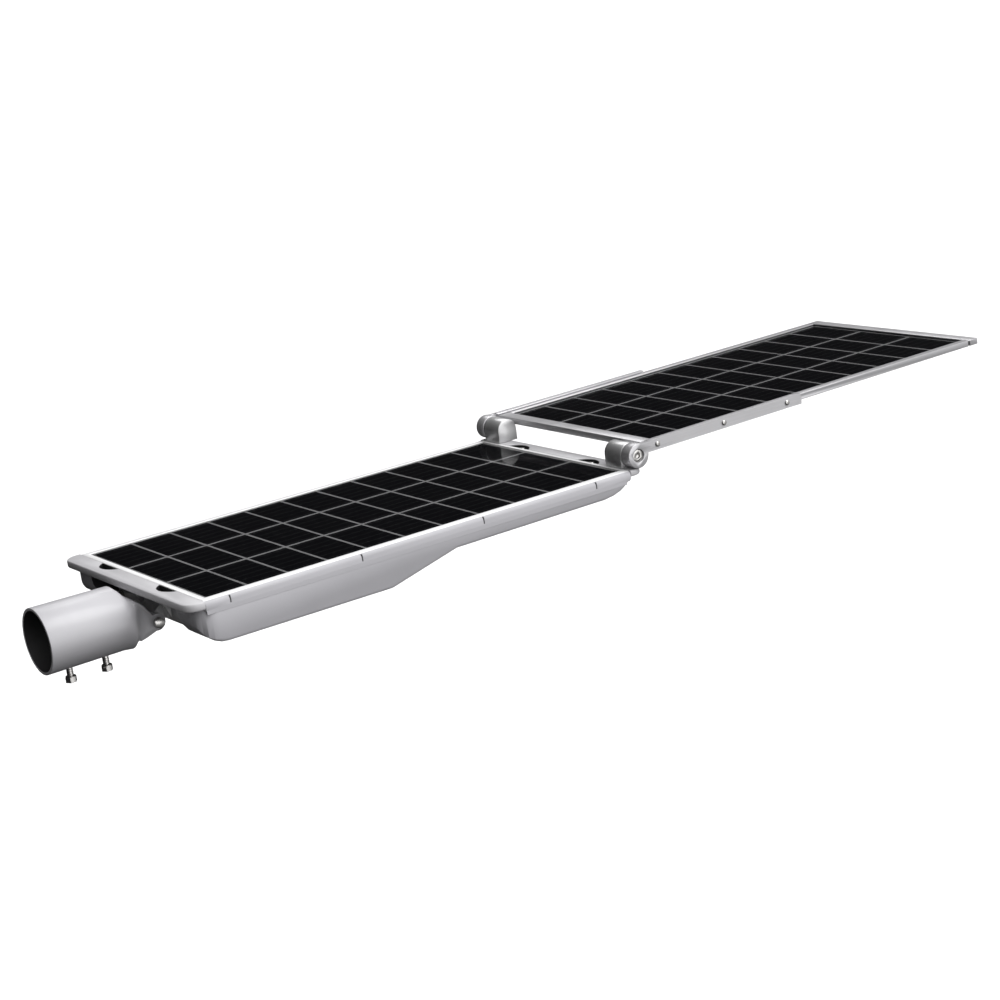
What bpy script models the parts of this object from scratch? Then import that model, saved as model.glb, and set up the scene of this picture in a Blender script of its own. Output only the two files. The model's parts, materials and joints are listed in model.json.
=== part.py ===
"""Solar street lamp: pole spigot, lamp body with its own solar panel, and a fold-out second panel.

Everything is in metres, +Z up. The origin is the centre of the spigot's mouth, where the pole enters,
and +X runs from the pole to the tip of the lamp. Shapes are drawn in one of four frames, each of them
an empty with an offset: the pole spigot, the lamp body (origin at the corner of the first solar cell, on
the plane of the glass), the slightly sloping light bay under it, and the fold-out panel (origin on the
hinge axis).
"""
import math

import bmesh
import bpy
from mathutils import Matrix, Vector

# ---- driving dimensions -------------------------------------------------------------------------
GAP = 0.0003                       # clearance between pieces that touch

POLE_R = 0.0302                    # bore for a 60 mm pole
SPIGOT_R = 0.0331                  # outside, at the mouth
SPIGOT_SHOULDER_R = 0.0322         # outside, at the shoulder: the casting has a slight draft
SPIGOT_TUBE = 0.0878               # straight length from the mouth to the shoulder
BORE_END = 0.0785                  # depth of the bore
SET_BOLT_X = (0.0262, 0.0640)
SET_BOLT_R = 0.0030

PANEL_ORIGIN = Vector((0.1206, 0.0, 0.0325))    # corner line of the first cells, on the glass plane
TILT_AXIS = Vector((0.1128, 0.0, -0.0085))
TILT_BOLT_R = 0.0030
FORK_R = 0.0085                    # round ends of the spigot's fork and of the bracket's tongue
FORK_HALF = 0.0250
TONGUE_HALF = 0.0160

CELL_COLUMNS = 11
CELL_ROWS = 3
MAIN_PITCH = (0.0440, 0.0836)
MAIN_LENGTH = CELL_COLUMNS * MAIN_PITCH[0]
MAIN_HALF = CELL_ROWS * MAIN_PITCH[1] / 2

BODY_HALF = 0.1378                 # lamp body, half width of the tub
RIM_HALF = 0.1380                  # half width of the bezel
RIM_TOP = 0.0009
RIM_ROUND = 0.0050                 # radius of the bezel's outer edge
SKIRT_Z = -0.0095                  # undersides of the bezel and of the two end caps
CAP_SKIRT_Z = -0.0072
TAIL_SKIRT_Z = -0.0058
RIM_X = (-0.0078, 0.4897)          # the bezel's ends
CAP_X = (-0.0271, 0.5075)          # outer edges of the two end caps
TUB_X = (-0.0177, 0.4877)
TUB_TOP = SKIRT_Z - GAP
DEEP_Z = -0.0431                   # underside of the deep half of the tub
HEEL = (0.0290, -0.0135)           # length of the round heel at the pole end, and where it starts
CORNER_R = 0.0200                  # plan rounding of the tub at the pole end
FLOOR = 0.0040                     # thickness of the tub's floor
WALL = 0.0030
NOTCH_HALF = 0.0950                # recess in the tub's end wall for the tilt bracket
NOTCH_X = 0.0100

BAY_X = 0.3450                     # middle of the light bay
BAY_Z = -0.0230
BAY_SLOPE = math.radians(0.43)
BAY_HALF = (0.0600, 0.1040)
LED_COLUMNS = 3
LED_ROWS = 8
LED_PITCH = (0.0400, 0.0240)
LENS_R = 0.0085

DOOR_X = (0.0140, 0.1560)          # battery door
DOOR_HALF = 0.1140
CELL_D = 0.0320                    # battery cell
BUTTON_AT = (0.1740, -0.0400)
VENT_AT = (0.1740, 0.0400)

HINGE = Vector((0.5011, 0.0, 0.0142))           # hinge axis, in the body's frame
EYE_R = 0.0130
EYE_Y = (0.1268, 0.1401)
BLOCK_Y = (0.0975, 0.1250)
WASHER_Y = (0.1253, 0.1265)
HINGE_BOLT_R = 0.0040
DEPLOYED = math.radians(0.711)     # the open panel stands this much above the lamp's plane

EXT_PITCH = (0.04203, 0.08287)
EXT_X0 = 0.0303                    # first cell edge, from the hinge axis
EXT_LENGTH = CELL_COLUMNS * EXT_PITCH[0]
EXT_HALF = CELL_ROWS * EXT_PITCH[1] / 2
EXT_CELL_Z = 0.0072
EXT_OUTER = (0.0132, EXT_X0 + EXT_LENGTH + 0.0154)
EXT_OUTER_HALF = 0.1347
RAIL_Z = (0.0032, 0.0101)
LIP_Z = 0.0087                     # underside of the rails' lip, over the glass
END_RAIL_W = (0.0120, 0.0145)      # width of an end rail: its web, and its web with the lip
SIDE_RAIL_W = (0.0075, 0.0095)
ARM_X = 0.2282                     # length of the hinge arms from the axis
ARM_Z = (0.0005, 0.0120)
ARM_LIP = 0.0080                   # width of the arm's lip over the rail
ARM_SCREW_X = (0.0259, 0.1169, 0.2069)
ARM_SCREW_Z = 0.0066

SIDES = (("right", -1), ("left", 1))            # as seen from the pole, looking along the lamp
SCREW_HEAD_R = 0.0038
BEZEL_SCREW_Y = 0.0635
BEZEL_SCREW_X = (-0.0130, 0.4950)
CLIP_X = (0.0174, 0.1611, 0.3033, 0.4442)       # slits of the snap hooks along both sides


# ---- scene, frames and finishes -----------------------------------------------------------------
def clear_scene():
    for obj in list(bpy.data.objects):
        bpy.data.objects.remove(obj, do_unlink=True)


def finish(name, colour, roughness, metallic):
    mat = bpy.data.materials.new(name)
    mat.use_nodes = True
    shader = mat.node_tree.nodes["Principled BSDF"]
    shader.inputs["Base Color"].default_value = (*colour, 1.0)
    shader.inputs["Roughness"].default_value = roughness
    shader.inputs["Metallic"].default_value = metallic
    mat.diffuse_color = (*colour, 1.0)
    return mat


class Frame:
    """An empty that carries pieces, and where the pieces' own zero lies from it."""

    def __init__(self, name, location, offset=(0.0, 0.0, 0.0), parent=None, turn=0.0):
        self.empty = bpy.data.objects.new(name, None)
        bpy.context.collection.objects.link(self.empty)
        self.empty.parent = parent
        self.empty.location = location
        self.empty.rotation_euler = (0.0, turn, 0.0)
        self.offset = Vector(offset)


def add(name, bm, frame, mat=None, smooth=False):
    """Makes an object from a bmesh; without a finish it is a hidden cutter."""
    bmesh.ops.recalc_face_normals(bm, faces=bm.faces)
    mesh = bpy.data.meshes.new(name)
    bm.to_mesh(mesh)
    bm.free()
    obj = bpy.data.objects.new(name, mesh)
    bpy.context.collection.objects.link(obj)
    obj.parent = frame.empty
    obj.location = frame.offset
    if mat is None:
        obj.hide_render = True
        obj.display_type = "WIRE"
    else:
        mesh.materials.append(mat)
    if smooth:
        mesh.shade_smooth()
        mesh.set_sharp_from_angle(angle=math.radians(35))
    return obj


def combine(target, other, operation):
    mod = target.modifiers.new(operation.lower(), "BOOLEAN")
    mod.operation = operation
    mod.solver = "EXACT"
    mod.object = other


def cut(target, frame, *shapes):
    for bm in shapes:
        combine(target, add(f"{target.name}_cutter", bm, frame), "DIFFERENCE")


def join(target, frame, *shapes):
    for bm in shapes:
        combine(target, add(f"{target.name}_extra", bm, frame), "UNION")


def round_edges(obj, width, segments=2, angle=50):
    mod = obj.modifiers.new("bevel", "BEVEL")
    mod.width = width
    mod.segments = segments
    mod.limit_method = "ANGLE"
    mod.angle_limit = math.radians(angle)


# ---- shapes -------------------------------------------------------------------------------------
def box(x, y, z, bm=None):
    """A box between pairs of x, y and z limits."""
    bm = bm or bmesh.new()
    size = Vector((x[1] - x[0], y[1] - y[0], z[1] - z[0]))
    middle = Vector((x[0] + x[1], y[0] + y[1], z[0] + z[1])) / 2
    bmesh.ops.create_cube(bm, size=1.0, matrix=Matrix.Translation(middle) @ Matrix.Diagonal((*size, 1.0)))
    return bm


def prism(outline, axis, low, high, bm=None):
    """A flat outline pushed along an axis: (x, z) outlines along Y, (x, y) along Z, (y, z) along X."""
    bm = bm or bmesh.new()
    spot = {"Y": lambda a, b, c: (a, c, b), "Z": lambda a, b, c: (a, b, c), "X": lambda a, b,
            c: (c, a, b)}[axis]
    base = [bm.verts.new(spot(a, b, low)) for a, b in outline]
    face = bm.faces.new(base)
    pushed = bmesh.ops.extrude_face_region(bm, geom=[face])
    step = Vector(spot(0.0, 0.0, high - low))
    bmesh.ops.translate(bm, vec=step, verts=[v for v in pushed["geom"] if isinstance(v, bmesh.types.BMVert)])
    return bm


def turned(profile, axis, centre, segments=24, bm=None):
    """A solid of revolution: profile pairs are (along the axis, radius), closed at the axis."""
    bm = bm or bmesh.new()
    along = {"X": Vector((1, 0, 0)), "Y": Vector((0, 1, 0)), "Z": Vector((0, 0, 1))}[axis]
    out = {"X": Vector((0, 0, 1)), "Y": Vector((0, 0, 1)), "Z": Vector((1, 0, 0))}[axis]
    centre = Vector(centre)
    side = along.cross(out)
    rings = []
    for distance, radius in profile:
        middle = centre + along * distance
        if radius == 0.0:
            rings.append([bm.verts.new(middle)])
            continue
        ring = []
        for n in range(segments):
            turn = 2 * math.pi * n / segments
            offset = out * (radius * math.cos(turn)) + side * (radius * math.sin(turn))
            ring.append(bm.verts.new(middle + offset))
        rings.append(ring)
    for first, second in zip(rings, rings[1:]):
        for n in range(segments):
            a, b = first[n % len(first)], first[(n + 1) % len(first)]
            c, d = second[(n + 1) % len(second)], second[n % len(second)]
            corners = list(dict.fromkeys((a, b, c, d)))
            if len(corners) > 2:
                bm.faces.new(corners)
    for ring, last in ((rings[0], False), (rings[-1], True)):
        if len(ring) > 1:
            bm.faces.new(ring if last else list(reversed(ring)))
    return bm


def loft(sections, segments=40):
    """A closed skin along X through (x, half width, top, bottom, power) sections; power 2 is an ellipse."""
    bm = bmesh.new()
    rings = []
    for x, half, top, bottom, power in sections:
        middle, rise = (top + bottom) / 2, (top - bottom) / 2
        ring = []
        for n in range(segments):
            turn = 2 * math.pi * n / segments
            y, z = (math.copysign(abs(v) ** (2 / power), v) for v in (math.cos(turn), math.sin(turn)))
            ring.append(bm.verts.new((x, half * y, middle + rise * z)))
        rings.append(ring)
    for first, second in zip(rings, rings[1:]):
        for n in range(segments):
            m = (n + 1) % segments
            bm.faces.new((first[n], first[m], second[m], second[n]))
    bm.faces.new(list(reversed(rings[0])))
    bm.faces.new(rings[-1])
    return bm


def rod(axis, centre, radius, low, high, segments=16, bm=None):
    return turned(((low, radius), (high, radius)), axis, centre, segments, bm)


def arc(centre, radius, start, end, steps):
    """Points round an arc, angles in degrees from +first axis towards +second axis."""
    points = []
    for n in range(steps + 1):
        angle = math.radians(start + (end - start) * n / steps)
        points.append((centre[0] + radius * math.cos(angle), centre[1] + radius * math.sin(angle)))
    return points


def pan_screw(at, axis, head, shank, head_h, length, sign, bm, segments=10):
    """A pan-head screw at a point: the head stands on the sign side, the shank goes the other way."""
    turned(((sign * head_h, 0.0), (sign * head_h, head * 0.75), (sign * head_h * 0.5, head), (0.0, head),
            (0.0, shank), (-sign * length, shank), (-sign * length, 0.0)), axis, at, segments, bm)
    return bm


def add_hex_bolt(name, at, axis, across, shank, head_h, length, sign, frame, mat):
    """A hexagon bolt with a washer face, its head on the sign side of the point."""
    stem = turned(((sign * 0.0008, across / 2), (0.0, across / 2), (0.0, shank), (-sign * length, shank)),
                  axis, at, 16)
    bolt = add(name, stem, frame, mat, True)
    join(bolt, frame, rod(axis, at, across / math.sqrt(3), *sorted((sign * 0.0005, sign * head_h)), 6))


def ring_box(outer_x, outer_half, inner_x, inner_half, z):
    """A flat rectangular ring made of one closed body."""
    bm = bmesh.new()
    rows = []
    for x, half in ((outer_x, outer_half), (inner_x, inner_half)):
        for level in z:
            rows.append([bm.verts.new((x[i], s * half, level)) for i,
                         s in ((0, -1), (1, -1), (1, 1), (0, 1))])
    outer_low, outer_high, inner_low, inner_high = rows
    for a, b in ((outer_low, outer_high), (outer_high, inner_high), (inner_high, inner_low),
                 (inner_low, outer_low)):
        for n in range(4):
            m = (n + 1) % 4
            bm.faces.new((a[n], a[m], b[m], b[n]))
    return bm


def span(sign, low, high):
    """A pair of limits on the given side of the middle."""
    return (low, high) if sign > 0 else (-high, -low)


# ---- pole spigot --------------------------------------------------------------------------------
def build_spigot(frame, mats):
    # From the round tube the skin drops at the top, steps in at the bottom, and narrows to the fork.
    skin = [(0.0, SPIGOT_R, SPIGOT_R, -SPIGOT_R, 2.0),
            (0.0800, SPIGOT_SHOULDER_R, SPIGOT_SHOULDER_R, -SPIGOT_SHOULDER_R, 2.0),
            (0.0850, 0.0319, 0.0275, -0.0322, 2.2), (SPIGOT_TUBE, 0.0311, 0.0230, -0.0320, 2.5),
            (0.0905, 0.0296, 0.0205, -0.0268, 3.0), (0.0930, 0.0270, 0.0188, -0.0232, 5.0),
            (0.0970, 0.0252, 0.0165, -0.0215, 8.0), (0.1010, FORK_HALF, 0.0125, -0.0205, 8.0)]
    spigot = add("spigot", loft(skin), frame, mats["spigot"], True)
    neck = [(0.0930, 0.0180), (0.1006, 0.0120)]
    neck += arc((TILT_AXIS.x, TILT_AXIS.z), FORK_R, 115, -105, 12) + [(0.0997, -0.0205), (0.0930, -0.0222)]
    join(spigot, frame, prism(neck, "Y", -FORK_HALF, FORK_HALF))
    slot = TONGUE_HALF + GAP
    cut(spigot, frame,
        rod("X", (0, 0, 0), POLE_R, -0.01, BORE_END, 36),
        box((TILT_AXIS.x - 0.0125, 0.15), (-slot, slot), (-0.04, 0.04)),
        rod("Y", TILT_AXIS, TILT_BOLT_R + GAP, -0.05, 0.05, 16),
        *[rod("Z", (x, 0, 0), SET_BOLT_R + GAP, -0.04, -0.02, 16) for x in SET_BOLT_X])
    names = ("set_bolt_outer", "set_bolt_inner")
    for name, x in zip(names, SET_BOLT_X):
        pivot = Frame(f"{name}_travel", (x, 0, -SPIGOT_R), parent=frame.empty)
        add_hex_bolt(name, (0, 0, -0.0088), "Z", 0.0100, SET_BOLT_R, 0.0060, 0.0158, -1, pivot, mats["steel"])


# ---- tilt joint ---------------------------------------------------------------------------------
def bracket_bolts():
    return [(sign * 0.0765, -0.0354) for sign in (-1, 1)]


def build_tilt(frame, mats):
    axis = TILT_AXIS - PANEL_ORIGIN
    flange_x = (NOTCH_X - 0.0053, NOTCH_X - GAP)
    inside = flange_x[0] + 0.0010
    bracket = add("tilt_bracket", box(flange_x, (-0.0850, 0.0850), (-0.0425, -0.0110)), frame, mats["cast"])
    round_edges(bracket, 0.0010, 1)
    tongue = [(inside, -0.0240)] + arc((axis.x, axis.z), FORK_R, 75, 285, 12) + [(inside, -0.0415)]
    gusset = [(inside, -0.0125), (-0.0050, -0.0190), (inside, -0.0415)]
    extras = [prism(tongue, "Y", -TONGUE_HALF, TONGUE_HALF)]
    extras += [prism(gusset, "Y", *span(sign, 0.0285, 0.0325)) for sign in (-1, 1)]
    join(bracket, frame, *extras)
    holes = [rod("X", (0, y, z), 0.0033, -0.01, 0.02, 12) for y, z in bracket_bolts()]
    cut(bracket, frame, rod("Y", axis, TILT_BOLT_R + GAP, -0.05, 0.05, 16), *holes)
    for number, (y, z) in enumerate(bracket_bolts(), 1):
        add_hex_bolt(f"bracket_bolt_{number}", (flange_x[0] - GAP, y, z), "X", 0.0100, 0.0030, 0.0050,
                     0.0085, -1,
                     frame, mats["steel"])
    side = FORK_HALF + GAP
    add_hex_bolt("tilt_bolt", axis + Vector((0, -side, 0)), "Y", 0.0100, TILT_BOLT_R, 0.0050,
                 2 * side + 0.0070, -1,
                 frame, mats["steel"])
    nut = add("tilt_nut", rod("Y", axis, 0.0100 / math.sqrt(3), side, side + 0.0055, 6), frame, mats["steel"])
    cut(nut, frame, rod("Y", axis, TILT_BOLT_R + GAP, side - 0.01, side + 0.02, 16))


# ---- lamp body ----------------------------------------------------------------------------------
def tub_outline(inset=0.0, floor=0.0):
    """Side outline of the tub: round heel, deep box, slope, thin light bay and an upturned bow."""
    centre = (TUB_X[0] + HEEL[0], HEEL[1])
    reach, drop = HEEL[0] - inset, HEEL[1] - DEEP_Z - floor
    outline = [(TUB_X[0] + inset, 0.0100)]
    for degrees in range(0, 91, 15):
        turn = math.radians(degrees)
        outline.append((centre[0] - reach * math.cos(turn), centre[1] - drop * math.sin(turn)))
    outline.append((0.1913 - inset, DEEP_Z + floor))
    outline += [(x, BAY_Z + (x - BAY_X) * math.tan(BAY_SLOPE) + floor) for x in (0.2700, 0.4555)]
    bow = [(0.4660, -0.0208), (0.4758, -0.0179), (0.4840, -0.0132), (TUB_X[1], TUB_TOP)]
    outline += [(x - inset * 0.8, z + floor * 0.8) for x, z in bow]
    return outline + [(TUB_X[1] - inset * 0.8, 0.0100)]


def tub_corners(radius):
    """Cutters that round the tub's upright corners at the pole end, about the same centres for any radius."""
    cutters = []
    for sign in (-1, 1):
        x, y = TUB_X[0] + CORNER_R, sign * (BODY_HALF - CORNER_R)
        outline = [(-0.05, y)] + arc((x, y), radius, 180, 180 - sign * 90, 6)
        cutters.append(prism(outline + [(x, sign * 0.20), (-0.05, sign * 0.20)], "Z", -0.06, 0.02))
    return cutters


def build_tub(frame, bay, mats):
    tub = add("lower_housing", prism(tub_outline(), "Y", -BODY_HALF, BODY_HALF), frame, mats["body"], True)
    round_edges(tub, 0.0035, 2, 60)
    inner = prism(tub_outline(WALL, FLOOR), "Y", -BODY_HALF + WALL, BODY_HALF - WALL)
    wide = 0.20
    wall_block = box((-0.03, NOTCH_X + 0.0040), (-NOTCH_HALF - 0.0040, NOTCH_HALF + 0.0040), (-0.06, 0.02))
    cavity = add("cavity", inner, frame)
    combine(cavity, add("cavity_keep", wall_block, frame), "DIFFERENCE")
    cut(cavity, frame, *tub_corners(CORNER_R - WALL))
    combine(tub, cavity, "DIFFERENCE")
    door_hole = box((DOOR_X[0] + 0.010, DOOR_X[1] - 0.010), (-DOOR_HALF + 0.010, DOOR_HALF - 0.010),
                    (-0.06, -0.02))
    door_step = box(DOOR_X, (-DOOR_HALF, DOOR_HALF), (-0.06, DEEP_Z + 0.0026))
    round_holes = [rod("Z", (*BUTTON_AT, 0), 0.0095, -0.06, -0.03, 20),
                   rod("Z", (*VENT_AT, 0), 0.0063, -0.06, -0.03, 16)]
    flange_holes = [rod("X", (0, y, z), 0.0033, -0.02, 0.03, 12) for y, z in bracket_bolts()]
    cut(tub, frame,
        box((RIM_X[0] - 0.0006, 0.6), (-wide, wide), (TUB_TOP, 0.05)),
        box((-0.1, RIM_X[0] + 0.0008), (-wide, wide), (CAP_SKIRT_Z - GAP, 0.05)),
        box((-0.05, NOTCH_X), (-NOTCH_HALF, NOTCH_HALF), (-0.06, 0.02)),
        door_hole, door_step, *round_holes, *flange_holes, *tub_corners(CORNER_R))
    bay_hole = box((-BAY_HALF[0] + 0.008, BAY_HALF[0] - 0.008), (-BAY_HALF[1] + 0.008, BAY_HALF[1] - 0.008),
                   (-0.01, 0.0110))
    bay_step = box((-BAY_HALF[0], BAY_HALF[0]), (-BAY_HALF[1], BAY_HALF[1]), (-0.01, 0.0029))
    for name, bm in (("bay_hole", bay_hole), ("bay_step", bay_step)):
        combine(tub, add(name, bm, bay), "DIFFERENCE")


def build_bezel(frame, mats):
    rim = add("bezel_frame", box((-0.05, 0.54), (-RIM_HALF, RIM_HALF), (-0.03, RIM_TOP)), frame,
              mats["bezel"], True)
    round_edges(rim, RIM_ROUND, 3)
    under = [(-0.06, SKIRT_Z), (0.4880, SKIRT_Z), (RIM_X[1], -0.0070), (0.55, -0.0070), (0.55, -0.05),
             (-0.06, -0.05)]
    glass_x = (-0.0019, MAIN_LENGTH + 0.0019)
    glass_half = MAIN_HALF + 0.0011
    wide = 0.20
    cut(rim, frame,
        box((-0.10, RIM_X[0]), (-wide, wide), (-0.06, 0.05)),
        box((RIM_X[1], 0.60), (-wide, wide), (-0.06, 0.05)),
        prism(under, "Y", -wide, wide),
        box(glass_x, (-glass_half, glass_half), (-0.0028, 0.01)),
        box((0.0080, MAIN_LENGTH - 0.0080), (-0.1180, 0.1180), (-0.03, 0.01)),
        *[box((x, x + 0.0012), span(sign, RIM_HALF - 0.0030, 0.15), (-0.0075, -0.0003))
          for x in CLIP_X for sign in (-1, 1)])
    gasket = ring_box((0.0085, MAIN_LENGTH - 0.0085), 0.1175, (0.0115, MAIN_LENGTH - 0.0115), 0.1145,
                      (-0.0060, -0.0028))
    add("panel_gasket", gasket, frame, mats["rubber"])


def build_caps(frame, mats):
    corner, steps = 0.0140, 5
    plan = arc((CAP_X[0] + corner, -RIM_HALF + corner), corner, 180, 270, steps)
    plan += [(0.03, -RIM_HALF), (0.03, RIM_HALF)]
    plan += arc((CAP_X[0] + corner, RIM_HALF - corner), corner, 90, 180, steps)
    cap = add("pole_end_cap", prism(plan, "Z", CAP_SKIRT_Z, RIM_TOP), frame, mats["cap"], True)
    round_edges(cap, 0.0018, 2, 60)
    wide = 0.20
    cap_cuts = [box((RIM_X[0] - GAP, 0.05), (-wide, wide), (-0.06, 0.05))]
    cap_cuts += [half_round(RIM_X[0] - GAP, -1, s * BEZEL_SCREW_Y, RIM_TOP - 0.0060) for s in (-1, 1)]
    cap_cuts += [rod("Z", (BEZEL_SCREW_X[0], s * BEZEL_SCREW_Y, 0), 0.0022, -0.02, 0.01, 10) for s in (-1, 1)]
    cut(cap, frame, *cap_cuts)

    corner = 0.0120
    plan = [(0.46, -RIM_HALF)] + arc((CAP_X[1] - corner, -RIM_HALF + corner), corner, 270, 360, steps)
    plan += arc((CAP_X[1] - corner, RIM_HALF - corner), corner, 0, 90, steps) + [(0.46, RIM_HALF)]
    tail = add("hinge_end_cap", prism(plan, "Z", TAIL_SKIRT_Z, RIM_TOP), frame, mats["cap"], True)
    round_edges(tail, 0.0014, 2, 60)
    tail_cuts = [box((0.40, RIM_X[1] + GAP), (-wide, wide), (-0.06, 0.05))]
    tail_cuts += [half_round(RIM_X[1] + GAP, 1, s * BEZEL_SCREW_Y, RIM_TOP - 0.0045) for s in (-1, 1)]
    tail_cuts += [rod("Z", (BEZEL_SCREW_X[1], s * BEZEL_SCREW_Y, 0), 0.0022, -0.02, 0.01, 10) for s in (-1,
                                                                                                        1)]
    tail_cuts += [rod("Z", (x, y, 0), 0.0028, -0.02, 0.01, 10) for x, y in (block_screw(-1), block_screw(1))]
    cut(tail, frame, *tail_cuts)

    for end, x, z in (("pole", BEZEL_SCREW_X[0], RIM_TOP - 0.0057),
                      ("hinge", BEZEL_SCREW_X[1], RIM_TOP - 0.0042)):
        for name, sign in SIDES:
            screw = pan_screw((x, sign * BEZEL_SCREW_Y, z), "Z", SCREW_HEAD_R, 0.0018, 0.0026, 0.0030, 1,
                              bmesh.new())
            add(f"{end}_cap_screw_{name}", screw, frame, mats["steel"], True)


def half_round(edge_x, sign, y, floor_z):
    """Cutter for a half-round scallop 38 mm wide and 10 mm deep, open against the bezel's edge."""
    chord, depth = 0.0190, 0.0105
    radius = (chord ** 2 + depth ** 2) / (2 * depth)
    sweep = math.degrees(math.asin(chord / radius))
    centre = (edge_x + sign * (depth - radius), y)
    start = 0.0 if sign > 0 else 180.0
    outline = arc(centre, radius, start - sweep, start + sweep, 8)
    back = edge_x - sign * 0.004
    outline = outline + [(back, outline[-1][1]), (back, outline[0][1])]
    return prism(outline, "Z", floor_z, 0.02)


def block_screw(sign):
    return HINGE.x, sign * 0.1110


def build_main_panel(frame, mats):
    edge = 0.0008
    x, half = (-0.0019 + GAP, MAIN_LENGTH + 0.0019 - GAP), MAIN_HALF + edge
    add("main_glass", box(x, (-half, half), (-0.0012, 0.0003)), frame, mats["glass"])
    add("main_cells", box((0.0, MAIN_LENGTH), (-MAIN_HALF, MAIN_HALF), (-0.0018, -0.0015)), frame,
        mats["cell"])
    add("main_backsheet", box(x, (-half, half), (-0.0025, -0.0021)), frame, mats["sheet"])


def build_battery(frame, mats):
    door_x = (DOOR_X[0] + GAP, DOOR_X[1] - GAP)
    add("battery_door", box(door_x, (-DOOR_HALF + GAP, DOOR_HALF - GAP), (DEEP_Z, DEEP_Z + 0.0014)), frame,
        mats["body"])
    ring = ring_box((DOOR_X[0] + 0.0052, DOOR_X[1] - 0.0052), DOOR_HALF - 0.0052,
                    (DOOR_X[0] + 0.0090, DOOR_X[1] - 0.0090), DOOR_HALF - 0.0090, (DEEP_Z + 0.0017, DEEP_Z + 0.0023))
    add("battery_door_seal", ring, frame, mats["rubber"])
    middle = (DOOR_X[0] + DOOR_X[1]) / 2
    cell_z = DEEP_Z + 0.0024 + CELL_D / 2 + 0.0010
    holder = add("battery_holder", box((middle - 0.0605, middle + 0.0605), (-0.1035, 0.1035),
                                       (DEEP_Z + 0.0017, cell_z - 0.0040)), frame, mats["black"])
    for number, sign in ((1, -1), (2, 1)):
        x = middle + sign * 0.0312
        cut(holder, frame, prism(pack_outline(x, cell_z, CELL_D / 2 - 0.0010), "Y", -0.1025, 0.1025))
        add(f"battery_pack_{number}", prism(pack_outline(x, cell_z, CELL_D / 2 - 0.0013), "Y", -0.1015,
                                            0.1015),
            frame, mats["battery"], True)


def pack_outline(x, z, radius):
    """Two rows of round cells side by side in one shrink wrap."""
    reach = CELL_D / 2 - 0.0004
    return arc((x - reach, z), radius, 90, 270, 8) + arc((x + reach, z), radius, -90, 90, 8)


def build_electronics(frame, mats):
    board_x, board_half, board_z = (0.1660, 0.2180), 0.0560, (-0.0280, -0.0264)
    board = add("charge_controller", box(board_x, (-board_half, board_half), board_z), frame, mats["board"])
    sunk = board_z[1] - 0.0005
    parts = [rod("Z", (0.1830, y, 0), 0.0055, sunk, sunk + 0.0140, 12) for y in (-0.036, -0.012, 0.012)]
    parts += [box((0.1960, 0.2060), (y, y + 0.0100), (sunk, sunk + 0.0080)) for y in (-0.044, -0.030)]
    parts += [box((0.1700, 0.2140), (y, y + 0.0100), (sunk, sunk + 0.0110)) for y in (0.0280, 0.0420)]
    parts.append(box((0.1940, 0.2120), (-0.0100, 0.0120), (sunk, sunk + 0.0060)))
    join(board, frame, *parts)


def build_button(frame, mats):
    collar_z = (DEEP_Z - 0.0020, DEEP_Z - GAP)
    collar = add("button_collar", rod("Z", (*BUTTON_AT, 0), 0.0120, *collar_z, 24), frame, mats["black"],
                 True)
    join(collar, frame, rod("Z", (*BUTTON_AT, 0), 0.0091, collar_z[0] + 0.0005, DEEP_Z + 0.0120, 20))
    cut(collar, frame, rod("Z", (*BUTTON_AT, 0), 0.0073, collar_z[0] - 0.01, DEEP_Z + 0.0100, 20))
    pivot = Frame("button_travel", frame.offset + Vector((*BUTTON_AT, DEEP_Z)), parent=frame.empty)
    add("power_button", turned(((-0.0045, 0.0), (-0.0045, 0.0052), (-0.0038, 0.0066), (0.0070, 0.0066),
                                (0.0070, 0.0)),
                               "Z", (0, 0, 0), 20), pivot, mats["red"], True)
    vent = turned(((-0.0030, 0.0), (-0.0030, 0.0060), (-0.0022, 0.0078), (-GAP, 0.0078), (-GAP, 0.0059),
                   (0.0080, 0.0059), (0.0080, 0.0)), "Z", (*VENT_AT, DEEP_Z), 18)
    add("vent_plug", vent, frame, mats["black"], True)


def build_light_bay(bay, mats):
    hx, hy = BAY_HALF
    lens = add("lens_plate", box((-hx + GAP, hx - GAP), (-hy + GAP, hy - GAP), (0.0, 0.0017)), bay,
               mats["lens"], True)
    board = add("led_board", box((-hx - 0.006, hx + 0.006), (-hy - 0.004, hy + 0.004), (0.0043, 0.0063)), bay,
                mats["aluminium"])
    domes, chips = bmesh.new(), bmesh.new()
    for column in range(LED_COLUMNS):
        for row in range(LED_ROWS):
            x = (column - (LED_COLUMNS - 1) / 2) * LED_PITCH[0]
            y = (row - (LED_ROWS - 1) / 2) * LED_PITCH[1]
            profile = [(0.0008, LENS_R)] + [(-0.0050 * math.sin(a), LENS_R * math.cos(a)) for a in (0.35,
                                                                                                    0.85)]
            turned(profile + [(-0.0050, 0.0)], "Z", (x, y, 0), 10, domes)
            box((x - 0.0025, x + 0.0025), (y - 0.0025, y + 0.0025), (0.0032, 0.0048), chips)
    combine(lens, add("lens_domes", domes, bay), "UNION")
    combine(board, add("led_chips", chips, bay), "UNION")
    seal = ring_box((-hx + 0.0008, hx - 0.0008), hy - 0.0008, (-hx + 0.0060, hx - 0.0060), hy - 0.0060,
                    (0.0020, 0.0026))
    add("lens_seal", seal, bay, mats["rubber"])
    frame_z = (-0.0018, -GAP)
    add("lens_frame", ring_box((-hx - 0.0080, hx + 0.0080), hy + 0.0080, (-hx + 0.0040, hx - 0.0040),
                               hy - 0.0040,
                               frame_z), bay, mats["body"])


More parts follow.
